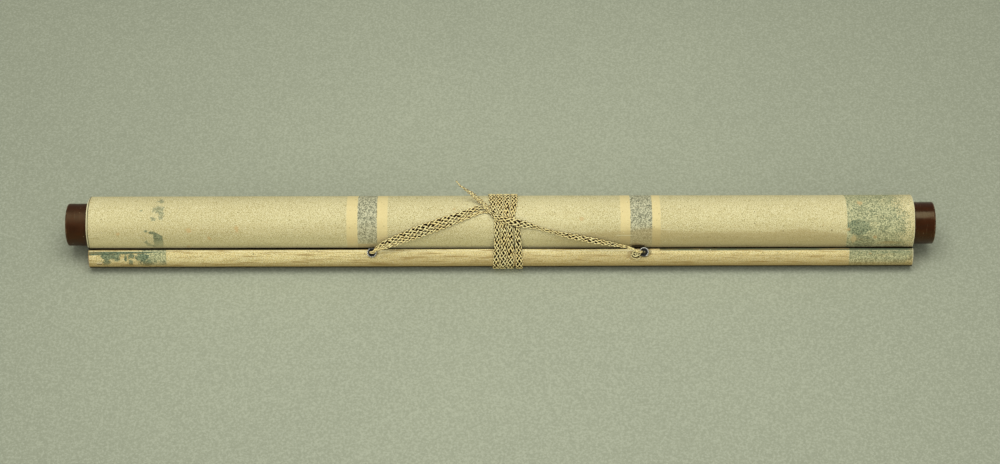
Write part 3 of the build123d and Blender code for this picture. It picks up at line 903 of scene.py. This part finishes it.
# Routes of the hanging cord and of the tie tape's run, as (along the roll, up the lay plane)
# from the middle of the roller's axis
CORD_ROUTE = [
    (-80.5, -14.4), (-66.0, -8.4), (-53.0, -3.1), (-36.0, 2.8), (-25.0, 6.5), (-17.0, 9.8),
    (-12.0, 11.0), (-9.4, 10.2), (-7.0, 7.8), (-4.5, 5.4), (-1.0, 3.6), (3.0, 2.2), (10.8, 0.4),
    (19.4, -1.2), (30.5, -4.7), (42.4, -7.5), (59.5, -11.0), (80.0, -14.9), (86.6, -16.3),
]
RUN_ROUTE = [
    (-83.0, -16.9), (-80.5, -16.9), (-74.7, -15.2), (-66.0, -12.3), (-53.0, -7.7), (-36.0, -1.35),
    (-25.0, 2.8), (-16.0, 6.4), (-11.0, 7.9), (-7.5, 7.4), (-5.2, 7.0),
]

# The tape's tail, as (x, y, height over the roller's axis)
TAIL_ROUTE = [
    (-7.6, -5.4, 19.2), (-11.6, -1.8, 20.6), (-16.8, 2.2, 23.2), (-21.1, 4.4, 25.7),
    (-24.5, 5.6, 28.0), (-26.6, 6.4, 28.9), (-29.2, 8.2, 31.7),
]

# Widths of the braids, as (along the roll, width), and of the tail, as (share of it, width)
CORD_WIDTHS = [
    (-84.0, 2.0), (-80.0, 3.2), (-74.0, 4.2), (-66.0, 4.6), (-53.0, 5.4), (-36.0, 5.1),
    (-25.0, 4.6), (-15.0, 4.2), (-11.0, 2.8), (-8.0, 2.3), (-4.0, 3.2), (3.0, 4.9), (12.0, 5.6),
    (19.0, 4.6), (24.0, 2.7), (32.0, 2.5), (40.0, 3.3), (48.0, 4.3), (64.0, 4.2), (74.0, 3.0),
    (82.0, 2.0), (90.0, 1.4),
]
RUN_WIDTHS = [
    (-83.0, 1.0), (-80.0, 1.6), (-74.0, 2.6), (-66.0, 3.0), (-53.0, 3.4), (-36.0, 3.2),
    (-25.0, 2.8), (-16.0, 2.6), (-11.0, 2.0), (-5.0, 1.6),
]
TAIL_WIDTHS = [(0, 3.6), (0.3, 3.3), (0.5, 2.4), (0.7, 1.5), (1.0, 0.8)]


def lay_height(point):
    """How far up the lay plane a point lies."""
    return point[1] * sin(LAY_TILT) + (point[2] - AXIS_HEIGHT) * cos(LAY_TILT)


def on_lay(along, up, height, eye):
    """The point above the roll's surface that lies at a place of the lay plane, and its normal.
    Past the line that touches the roll, it lies on the straight way to the eye."""
    middle = ROLL_RADIUS + height
    reach = hypot(eye[1], eye[2] - AXIS_HEIGHT)
    leave = atan2(eye[2] - AXIS_HEIGHT, eye[1]) % (2 * pi) - acos(middle / reach)
    turn = asin(max(-1.0, min(1.0, up / middle)))
    angle = min(pi - LAY_TILT - turn, leave)
    normal = np.array([0.0, cos(angle), sin(angle)])
    point = np.array([along, middle * cos(angle), AXIS_HEIGHT + middle * sin(angle)])
    if angle < leave:
        return point, normal
    way = np.array([0.0, -sin(leave), cos(leave)])
    way_up = way[1] * sin(LAY_TILT) + way[2] * cos(LAY_TILT)
    return point + way * ((up - lay_height(point)) / way_up), normal


def laid_line(control, over_lanes=False):
    """A route's line on the roll and its normals. The cord rises where it goes over the lanes."""
    level = BRAID_THICKNESS + BRAID_GAP
    line, normals = [], []
    for x, up, _ in route_points([(x, y, 0.0) for x, y in control]):
        rise = smooth(x, -15.0, -8.5) * (1 - smooth(x, 12.0, 19.0)) if over_lanes else 0.0
        height = BRAID_GAP + BRAID_THICKNESS / 2 + level * rise
        point, normal = on_lay(x, up, height, eye_top["left" if x < 3 else "right"])
        line.append(point)
        normals.append(normal)
    return np.array(line), np.array(normals)


def make_hanging_cord(yarn, inside):
    left, right = eye_top["left"], eye_top["right"]
    control = [(left[0] + 1.3, lay_height(left)), *CORD_ROUTE, (right[0] - 1.3, lay_height(right))]
    line, normals = laid_line(control, over_lanes=True)
    widths = np.interp(line[:, 0], *zip(*CORD_WIDTHS))
    strands = Bundle()
    braid(strands, line, normals, widths, spread=1.05, thickest=1.2)
    link_tubes(strands, "left", 1)
    link_tubes(strands, "right", -1)
    knot_tubes(strands)
    finish_piece(strands.piece("hanging_cord_braid", 80.0), yarn, "hanging_cord")
    core = Bundle()
    core.band(line, normals, widths - 0.9)
    finish_piece(core.piece("hanging_cord_inside", 38.0), inside)


# The link's two loops, as (offset along the stave's side, size)
LINK_LOOPS = ((-0.45, 1.15), (0.45, 1.35))
LINK_SHIFT = 0.25


def link_tubes(bundle, side, way):
    """Two yarns looped through an eye."""
    out = np.array([way, 0.0, 0.0])
    centre = eye_top[side] + out * LINK_SHIFT
    turns = np.linspace(0, 2 * pi, 26)
    normals = np.array([out * cos(t) + EYE_NORMAL * sin(t) for t in turns])
    for offset, size in LINK_LOOPS:
        ring = [
            centre
            + out * size * cos(t)
            + EYE_NORMAL * size * 0.85 * sin(t)
            + EYE_UP * offset * (1 + 0.3 * cos(t))
            for t in turns
        ]
        bundle.tube(ring, normals, YARN_WIDE, YARN_HIGH, shade=0.4, **TWISTED)


# Loops of the knot: (along the roll, down the stave) from the eye, half sizes, lean, yarn size
KNOT_LOOPS = [
    ((-5.9, 1.3), 1.9, 1.5, 0.4, 1.15),
    ((-4.0, 1.0), 1.7, 1.2, -0.5, 1.15),
    ((-5.6, 2.9), 3.0, 1.7, 0.25, 0.6),
]

# The knot's dark bed, painted shade under and inside its loops: its ends, middle, half length and drop
# down the stave
BED_ENDS = (-8.4, -2.2)
BED_MIDDLE = -5.3
BED_REACH = 3.2
BED_DROP = 1.5


def knot_tubes(bundle):
    """The small knot beside the right eye, on a dark bed on the stave's upper side: painted shade
    under and inside its loops.
    """
    reach = np.linspace(*BED_ENDS, 14)
    bed = eye_point("right", 0.2)
    line = [bed + (along, 0, 0) - EYE_UP * BED_DROP for along in reach]
    round_ends = np.sqrt(np.clip(1 - ((reach - BED_MIDDLE) / BED_REACH) ** 2, 0.02, 1))
    normals = np.tile(EYE_NORMAL, (len(reach), 1))
    # A flat near-black tube: painted shade under the knot.
    bundle.tube(line, normals, 2.2, 0.15, sides=10, shade=-0.9, taper=round_ends)
    base = eye_point("right", 1.1)
    for place, wide, deep, lean, size in KNOT_LOOPS:
        ring = []
        for t in np.linspace(0, 2 * pi, 34):
            a = wide * cos(t)
            d = deep * sin(t)
            along = place[0] + a * cos(lean) - d * sin(lean)
            down = place[1] + a * sin(lean) + d * cos(lean)
            lift = EYE_NORMAL * (0.45 * sin(2 * t + lean))
            ring.append(base + (along, 0, 0) - EYE_UP * down + lift)
        normals = np.tile(EYE_NORMAL, (len(ring), 1))
        bundle.tube(ring, normals, YARN_WIDE * size, YARN_HIGH * size, shade=0.55, **TWISTED)


# The outline of roll and stave that the tape is drawn round

def bundle_outline(grow):
    """Points and outward directions of the outline: from the top of the roll down the front to
    the table, and from there up the back."""
    side = SIDE_RADIUS + WRAP + grow
    crown = CROWN_RADIUS + WRAP + grow
    roll = ROLL_RADIUS + grow
    top = 180 + TURN_ANGLE
    seat = (0.0, -STAVE_DISTANCE)
    front = stave_arc(seat, roll, top, 180 - TURN_ANGLE, 30)
    front += stave_arc((SIDE_SHIFT, 0.0), side, 180 - TURN_ANGLE, 180 - CROWN_ANGLE, 5)
    front += stave_arc((0.0, CROWN_RISE), crown, 180 - CROWN_ANGLE, CROWN_ANGLE, 14)[1:]
    front += stave_arc((-SIDE_SHIFT, 0.0), side, CROWN_ANGLE, TURN_ANGLE, 3)[1:]
    back = stave_arc(seat, roll, 360 + TURN_ANGLE, top, 60)
    return front, back


# Down the front the lanes are drawn together where the cord crosses them. Each is (up the lay
# plane, the lanes' middle, the share of their full width).
FRONT_LANES = [
    (-29.2, 4.6, 1.0), (-17.3, 4.75, 0.96), (-10.4, 4.8, 0.90),
    (-4.2, 4.4, 0.87), (3.4, 2.5, 0.73), (7.7, 1.85, 0.85),
    (13.9, 1.95, 0.96),
]
LANE_NUDGE = (-0.1, -0.35, -0.55, 0.35)


def lanes_line():
    """The winding tape's middle line, its normals and its width factor."""
    front, back = bundle_outline(BRAID_GAP + BRAID_THICKNESS / 2)
    lean = LANE_PITCH / 2 / BUNDLE_HEIGHT
    full = LANE_COUNT * LANE_PITCH - LANE_GAP
    ups, middles, shares = zip(*FRONT_LANES)
    line, normals, factors = [], [], []
    for lane in range(LANE_COUNT):
        place = BRAID_WIDTH / 2 + lane * LANE_PITCH - full / 2
        for (y, z), way in back:
            centre = LANE_START + full / 2 - (BUNDLE_HEIGHT - z) * lean
            share = 1 - 0.04 * smooth(z, AXIS_HEIGHT + 15.0, BUNDLE_HEIGHT)
            line.append((centre + place * share, y, z))
            normals.append((0, *way))
            factors.append(share)
        for (y, z), way in front:
            up = lay_height((0, y, z))
            share = float(np.interp(up, ups, shares))
            nudge = LANE_NUDGE[lane] * (1 - smooth(up, -12.0, 0.0))
            line.append((float(np.interp(up, ups, middles)) + place * share + nudge, y, z))
            normals.append((0, *way))
            factors.append(share)
    return np.array(line, float), np.array(normals, float), np.array(factors)


def make_tie_tape(yarn, inside):
    strands = Bundle()
    core = Bundle()
    line, normals, factors = lanes_line()
    widths = (BRAID_WIDTH + 0.15) * factors
    braid(strands, line, normals, widths, start=1.3, cell=4.2, yarn=0.36)
    core.band(line, normals, widths - 0.7)
    line, normals = laid_line(RUN_ROUTE)
    widths = np.interp(line[:, 0], *zip(*RUN_WIDTHS))
    braid(strands, line, normals, widths, strands=3, start=4.1)
    core.band(line, normals, widths - 1.0)
    tail_tubes(strands)
    finish_piece(strands.piece("tie_tape_braid", 80.0), yarn, "tie_tape")
    finish_piece(core.piece("tie_tape_inside", 38.0), inside)


# Loose yarns of the tail: how far each strays sideways and outward, and its share of the length
FRAYS = [(0.9, 0.6, 0.55), (-1.0, 0.8, 0.42), (0.4, -0.7, 0.7), (-0.5, 1.2, 0.3)]
FRAY_STAGGER = 0.12
FRAY_RADIUS = 0.14
FRAY_END = 0.35


def tail_tubes(bundle):
    """The tape's stiff end: a braid that thins out to one frayed yarn."""
    line = route_points([(x, y, z + AXIS_HEIGHT) for x, y, z in TAIL_ROUTE])
    facing = np.array([0.0, -cos(LAY_TILT), sin(LAY_TILT)])
    normals = np.tile(facing, (len(line), 1))
    widths = np.interp(np.linspace(0, 1, len(line)), *zip(*TAIL_WIDTHS))
    braid(bundle, line, normals, widths, strands=3, cell=3.0, start=2.0, dim=0.26)
    for strand, (spread, rise, length) in enumerate(FRAYS):
        count = max(6, int(len(line) * length))
        first = int(len(line) * FRAY_STAGGER * strand)
        part = line[first : first + count].copy()
        grow = np.linspace(0, 1, len(part)) ** 2
        side_way = unit(np.cross(np.gradient(part, axis=0), facing))
        part += side_way * (spread * grow)[:, None] + facing * (rise * grow)[:, None]
        taper = np.linspace(1, FRAY_END, len(part))
        facings = normals[: len(part)]
        bundle.tube(part, facings, FRAY_RADIUS, FRAY_RADIUS, sides=6, shade=0.55, taper=taper)


# Paper roll

INNER_STEPS = 26
OUTER_STEPS = 46
FINE_HALF_TURNS = 2
COLUMNS = 160
SPARSE = [0, 2, 6, 40, 80, 120, 154, 158, 160]
END_TELESCOPE = 0.90
PASTED_SHORT = 1.2
LEFT_END = 0.95
RIGHT_END = -0.30
END_RAGGED = 0.16
END_FINE = 0.07
WAVE_ON_STAVE = (0.16, 0.10, 0.06)
WAVE_ON_ROLL = (0.13, 0.07, 0.03)

# A row of the sheet's section: its outer and inner point, outward direction, half-turns still to
# go, whether it is finely divided, and its values for the material
ROW_DEFAULTS = (0, True, 0.0, 0.0, 0.0)
Row = namedtuple("Row", "outer inner way left fine stave facing groove", defaults=ROW_DEFAULTS)


def inward(outer, way):
    """The point of the sheet's inner face behind a point of its outer face."""
    return (outer[0] - way[0] * SHEET_THICKNESS, outer[1] - way[1] * SHEET_THICKNESS)


def spiral_rows():
    """The sheet's section, row by row, from its inner end outward."""
    corner_along = sqrt((SIDE_RADIUS - CORNER_RADIUS) ** 2 - CORNER_RADIUS**2) - SIDE_SHIFT
    corner_out = STAVE_DISTANCE + CORNER_RADIUS
    corner_distance = hypot(corner_along, corner_out)
    split = (
        180
        + TURN_ANGLE
        + degrees(atan2(corner_along, corner_out))
        + degrees(acos(ROLL_RADIUS / corner_distance))
    )
    shifted = across(split + 180, HALF_PITCH)
    rows = []
    for left in range(2 * TURN_COUNT - 1, -1, -1):
        centre = (0.0, AXIS_HEIGHT) if left % 2 == 0 else shifted
        first = split if left % 2 == 0 else split + 180
        radius = ROLL_RADIUS - left * HALF_PITCH
        fine = left < FINE_HALF_TURNS
        steps = OUTER_STEPS if fine else INNER_STEPS
        for index in range(steps + (left == 0)):
            angle = first + 180 - 180 * index / steps
            outer = across(angle, radius, centre)
            inner = across(angle, radius - SHEET_THICKNESS, centre)
            way = (cos(radians(angle)), sin(radians(angle)))
            rows.append(Row(outer, inner, way, left, fine))

    # The run to the stave's lower corner, then once round the stave and along its flat
    corner = from_stave(corner_along, CORNER_RADIUS)
    leave = across(split, ROLL_RADIUS)
    run = hypot(corner[0] - leave[0], corner[1] - leave[1])
    share = (run - CORNER_RADIUS - WRAP) / run
    way = (cos(radians(split)), sin(radians(split)))
    for index in range(1, 4):
        part = share * index / 3
        outer = (leave[0] + (corner[0] - leave[0]) * part, leave[1] + (corner[1] - leave[1]) * part)
        rows.append(Row(outer, inward(outer, way), way))
    for outer, way in sleeve_points(corner_along, corner, leave):
        facing = (way[0] + way[1]) * sin(LAY_TILT)
        seen = outer[0] < -18.0 and way[0] < 0.9
        # groove: how much painted shade the material lays: all of it on the sleeve's hidden upward
        # faces, and a dark line along its upper corner beside the roll.
        groove = 1.0 if not seen and facing > 0 else smooth(facing, 0.78, 0.92)
        rows.append(Row(outer, inward(outer, way), way, stave=1.0, facing=facing, groove=groove))
    return rows


def sleeve_points(corner_along, corner, leave):
    """The sleeve's outer face: lower corner, lower side, crown, upper side, upper corner, flat."""
    to_corner = (leave[0] - corner[0], leave[1] - corner[1])
    along = to_corner[0] * sin(STAVE_DROP) - to_corner[1] * cos(STAVE_DROP)
    out = -to_corner[0] * cos(STAVE_DROP) - to_corner[1] * sin(STAVE_DROP)
    arrive = degrees(atan2(out, along))
    contact = degrees(atan2(CORNER_RADIUS, corner_along + SIDE_SHIFT))
    lower = (corner_along, CORNER_RADIUS)
    upper = (-corner_along, CORNER_RADIUS)
    side = SIDE_RADIUS + WRAP
    crown = CROWN_RADIUS + WRAP
    points = stave_arc(lower, CORNER_RADIUS + WRAP, arrive, contact, 5)
    points += stave_arc((-SIDE_SHIFT, 0), side, contact, CROWN_ANGLE, 9)[1:]
    points += stave_arc((0, CROWN_RISE), crown, CROWN_ANGLE, 180 - CROWN_ANGLE, 20)[1:]
    points += stave_arc((SIDE_SHIFT, 0), side, 180 - CROWN_ANGLE, 180 - contact, 14)[1:]
    points += stave_arc(upper, CORNER_RADIUS + WRAP, 180 - contact, 270, 9)[1:]
    way = (cos(STAVE_DROP), sin(STAVE_DROP))
    stop = corner_along - PASTED_SHORT
    for index in range(1, 5):
        place = -corner_along + (stop + corner_along) * index / 4
        points.append((from_stave(place, -WRAP), way))
    return points


def sheet_wave(x, y, z, stave):
    """The sheet's slight unevenness, in millimetres outward."""
    slow = wander(x * 0.011, y * 0.05, z * 0.05 + 3.0)
    quick = wander(x * 0.035, y * 0.13, z * 0.13 + 9.0)
    small = wander(x * 0.10, y * 0.30, z * 0.30 + 17.0)
    depths = WAVE_ON_STAVE if stave > 0.5 else WAVE_ON_ROLL
    return depths[0] * slow + depths[1] * quick + depths[2] * small


def end_offset(side, row):
    """How far a row's end lies from the sheet's nominal end: inner turns stand out at the left."""
    turn = atan2(row.outer[1] - AXIS_HEIGHT, row.outer[0])
    ragged = wander(cos(turn) * 2.2, sin(turn) * 2.2, row.left * 0.7 + (20 if side > 0 else 0))
    fine = wander(cos(turn) * 9.0, sin(turn) * 9.0, row.left * 0.7 + 50)
    offset = END_RAGGED * ragged + END_FINE * fine
    if side < 0:
        return offset + LEFT_END - END_TELESCOPE * smooth(row.left, 0.5, 3.0)
    return offset + RIGHT_END


def turned_over(cell, flip):
    """A face, with its points the other way round if it has to flip."""
    return tuple(reversed(cell)) if flip else cell


def make_paper_roll(material):
    rows = spiral_rows()
    shares = np.linspace(0, 1, COLUMNS + 1)
    points, marks, outer_rows, inner_rows = [], [], [], []
    for row in rows:
        low = -SHEET_WIDTH / 2 + end_offset(-1, row)
        high = SHEET_WIDTH / 2 + end_offset(1, row)
        outer_rows.append([])
        inner_rows.append([])
        for column in range(COLUMNS + 1) if row.fine else SPARSE:
            x = low + (high - low) * shares[column]
            lift = sheet_wave(x, *row.outer, row.stave) if row.fine else 0.0
            rim = 1.0 if column in (0, COLUMNS) and row.fine else 0.0
            inner_turn = 0.0 if row.left < FINE_HALF_TURNS else 1.0
            for numbers, (y, z) in ((outer_rows[-1], row.outer), (inner_rows[-1], row.inner)):
                numbers.append(len(points))
                points.append((x, y + row.way[0] * lift, z + row.way[1] * lift))
                marks.append((row.stave, row.facing, row.groove, rim, inner_turn))

    faces = []
    for number in range(len(rows) - 1):
        for layer, flip in ((outer_rows, False), (inner_rows, True)):
            here, after = layer[number], layer[number + 1]
            stops = range(len(here)) if len(here) == len(after) else SPARSE
            for k in range(len(here) - 1):
                across_from = after[stops[k] : stops[k + 1] + 1]
                faces.append(turned_over((here[k], here[k + 1], *reversed(across_from)), flip))
        for edge, flip in ((0, True), (-1, False)):
            cell = (
                outer_rows[number][edge],
                inner_rows[number][edge],
                inner_rows[number + 1][edge],
                outer_rows[number + 1][edge],
            )
            faces.append(turned_over(cell, flip))
    for number, flip in ((0, False), (-1, True)):
        outer, inner = outer_rows[number], inner_rows[number]
        for k in range(len(outer) - 1):
            faces.append(turned_over((outer[k], inner[k], inner[k + 1], outer[k + 1]), flip))

    names = ("on_stave", "facing", "groove", "rim", "inner_turn")
    roll = mesh_object("paper_sheet", points, faces, 50.0, dict(zip(names, zip(*marks))))
    finish_piece(roll, material, "paper_roll")


# Knobs and fittings

KNOB_STEPS = 112
KNOB_WOBBLE = 0.06
KNOB_RIM = 1.0
KNOB_FACE = (10.5, 8.0, 5.0, 2.0, 0.6)


def turned_knob(name, profile, seat, way):
    """A turned solid along X from (along, radius, wear) points, closed at both ends."""
    axis_way = np.array([float(way), 0.0, 0.0])
    up_way = np.array([0.0, 0.0, 1.0])
    side_way = np.cross(axis_way, up_way)
    points, rim = [], []
    for along, radius, wear in profile:
        middle = np.array([seat, 0.0, AXIS_HEIGHT]) + axis_way * along
        for step in range(KNOB_STEPS):
            turn = 2 * pi * step / KNOB_STEPS
            real = radius + KNOB_WOBBLE * wander(cos(turn) * 1.5, sin(turn) * 1.5, along * 0.2)
            points.append(middle + (up_way * cos(turn) + side_way * sin(turn)) * real)
            rim.append(wear)
    return mesh_object(name, points, ring_faces(len(profile), KNOB_STEPS), 35.0, {"rim": rim})


def make_knobs(material):
    """End knobs: a short cylinder with a softly rounded rim and faint turned steps."""
    for side, way in (("left", -1), ("right", 1)):
        low, high = knob_box[side]
        seat = (low.x if way > 0 else high.x) / MM
        length = (high.x - low.x) / MM
        profile = [(0.0, KNOB_RADIUS - 0.25, 0.6), (0.25, KNOB_RADIUS - 0.03, 0.3)]
        for place in np.linspace(0.8, length - KNOB_RIM - 0.3, 16):
            groove = 0.02 * wander(place * 1.3, way * 5.0, 0)
            profile.append((place, KNOB_RADIUS - 0.04 + groove, 0.0))
        for turn in np.linspace(0, 90, 8):
            along = length - KNOB_RIM + KNOB_RIM * sin(radians(turn))
            radius = KNOB_RADIUS - KNOB_RIM + KNOB_RIM * cos(radians(turn)) - 0.02
            profile.append((along, radius, exp(-(((turn - 40) / 30) ** 2))))
        for radius in KNOB_FACE:
            dish = 0.08 * (radius / KNOB_FACE[0]) ** 2
            profile.append((length - 0.10 + dish - 0.02, radius, 0.0))
        knob = turned_knob(f"knob_{side}_turned", profile, seat, way)
        finish_piece(knob, material, f"knob_{side}")


PETALS = 14
PETAL_STEPS = 8
NOTCH_DEPTH = 0.14
# How near black the parts of a washer are laid: the dish (tarnish and painted shade), the notches'
# valleys (painted shade) and one side (painted shade)
HOLLOW_INSIDE = 0.97
HOLLOW_NOTCH = 0.80
HOLLOW_SHADED_SIDE = 0.88
# The angle round each washer of its side in painted shade
SHADED_SIDE = {"left": 75.0, "right": -115.0}


def make_washers(material):
    """Dished washers with a raised, finely notched rim, each with painted shade on one side."""
    rim_half = WASHER_RIM_WIDTH / 2
    rim_middle = WASHER_RADIUS - rim_half
    rim_inside = WASHER_RADIUS - WASHER_RIM_WIDTH
    profile = [(0.06, WASHER_BORE, 0.0), (0.06, WASHER_RADIUS - 0.25, 0.0)]
    for turn in np.radians(np.linspace(-10, 180, 12)):
        out = WASHER_RIM_HEIGHT - rim_half + rim_half * sin(turn)
        profile.append((out, rim_middle + rim_half * cos(turn), max(0.0, sin(turn))))
    profile.append((WASHER_FLOOR + 0.08, rim_inside - 0.1, 0.0))
    profile += [(WASHER_FLOOR, 1.2, 0.0), (WASHER_FLOOR, WASHER_BORE, 0.0)]
    steps = PETALS * PETAL_STEPS
    faces = ring_faces(len(profile), steps, closed=True)
    for side in EYE_PLACE:
        points, hollow = [], []
        for out, radius, mark in profile:
            inside = radius < rim_inside + 0.2 and out > 0.1
            for step in range(steps):
                turn = 2 * pi * step / steps
                notch = mark * NOTCH_DEPTH * cos(PETALS * turn)
                way = np.array([1.0, 0, 0]) * cos(turn) + EYE_UP * sin(turn)
                foot = eye_point(side, out + notch * 0.8)
                points.append(foot + way * (radius + notch * 0.7))
                valley = 0.5 - 0.5 * cos(PETALS * turn)
                shaded = smooth(cos(turn - radians(SHADED_SIDE[side])), 0.45, 0.80)
                dark = max(HOLLOW_NOTCH * valley**2, HOLLOW_SHADED_SIDE * shaded)
                hollow.append(HOLLOW_INSIDE if inside else dark)
        washer = mesh_object(f"washer_{side}_dished", points, faces, 45.0, {"hollow": hollow})
        finish_piece(washer, material, f"washer_{side}")


LEG_SPREAD = 0.30
LEG_DEPTH = 6.6
LEG_TOP = 0.3
LEG_STEP = 0.9
LEG_POINTS = 8
WIRE_FLATNESS = 0.72


def make_eyelets(material):
    """Split-wire eyes: the wire goes up one leg, round the loop and down the other leg."""
    split = asin(LEG_SPREAD / EYE_LOOP_RADIUS)
    start = -pi / 2 - split
    for side in EYE_PLACE:
        way = loop_way(side)
        across_way = np.cross(EYE_UP, way)
        foot = eye_point(side)
        middle = foot + way * LOOP_HEIGHT
        aside = across_way * LEG_SPREAD
        wire = [foot - EYE_NORMAL * (LEG_DEPTH - LEG_STEP * i) - aside for i in range(LEG_POINTS)]
        for turn in np.linspace(start, start - 2 * pi + 2 * split, 40):
            wire.append(middle + (across_way * cos(turn) + way * sin(turn)) * EYE_LOOP_RADIUS)
        wire += [foot - EYE_NORMAL * (LEG_TOP + LEG_STEP * i) + aside for i in range(LEG_POINTS)]
        normals = np.tile(EYE_UP, (len(wire), 1))
        wires = Bundle()
        wires.tube(wire, normals, EYE_WIRE / 2 * WIRE_FLATNESS, EYE_WIRE / 2, sides=12)
        eyelet = wires.piece(f"eyelet_{side}_wire", 60.0)
        finish_piece(eyelet, material, f"eyelet_{side}")


# Floor and light

FLOOR_HALF = 6000.0
LAMP_COLOUR = (1.0, 0.99, 0.975)
SURROUND_COLOUR = (1.0, 0.985, 0.95, 1.0)
SURROUND_STRENGTH = 0.22

# Lamps, as (name, place, size, power, whether lacquer and metal mirror it)
LAMPS = [
    ("key", (0.0, -0.02, 1.50), (1.30, 0.95), 13.9, True),
    ("fill", (0.0, -1.45, 1.15), (3.0, 2.0), 18.2, False),
]


def make_floor(material):
    """A wide plain floor, far enough round that every view sees it."""
    corners = [(x * FLOOR_HALF, y * FLOOR_HALF, 0) for x, y in ((-1, -1), (1, -1), (1, 1), (-1, 1))]
    floor = mesh_object("floor", corners, [(0, 1, 2, 3)])
    floor.data.materials.append(material)


def area_lamp(name, place, size, power, mirrored):
    """A rectangular lamp, aimed at the scroll."""
    data = bpy.data.lights.new(name, "AREA")
    data.shape = "RECTANGLE"
    data.size, data.size_y = size
    data.energy = power
    data.color = LAMP_COLOUR
    lamp = add_object(name, data)
    lamp.visible_glossy = mirrored
    turn = Vector(place).to_track_quat("Z", "Y").to_matrix().to_4x4()
    lamp.matrix_world = Matrix.Translation(Vector(place)) @ turn


def make_light():
    """A soft lamp overhead, a larger one in front, and a dim, even surround."""
    for lamp in LAMPS:
        area_lamp(*lamp)
    world = bpy.data.worlds.new("surround")
    world.use_nodes = True
    background = world.node_tree.nodes["Background"]
    background.inputs["Color"].default_value = SURROUND_COLOUR
    background.inputs["Strength"].default_value = SURROUND_STRENGTH
    bpy.context.scene.world = world


make_camera()
yarn = yarn_material()
inside = shadow_yarn_material()
make_hanging_cord(yarn, inside)
make_tie_tape(yarn, inside)
make_paper_roll(Paper().material)
make_knobs(lacquer_material())
make_washers(metal_material("dull_plating", rgb(250, 251, 244), rgb(206, 208, 194)))
make_eyelets(metal_material("tarnished_wire", rgb(74, 70, 50), rgb(34, 30, 18)))
for node, material in (
    ("roller_core", wood_material("roller_wood", rgb(196, 160, 108), rgb(150, 112, 66))),
    ("top_stave", wood_material("stave_wood", rgb(206, 172, 120), rgb(160, 122, 74))),
):
    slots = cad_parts[node].data.materials
    slots.clear()
    slots.append(material)
make_floor(floor_material())
make_light()
bpy.context.scene.view_settings.view_transform = "Standard"
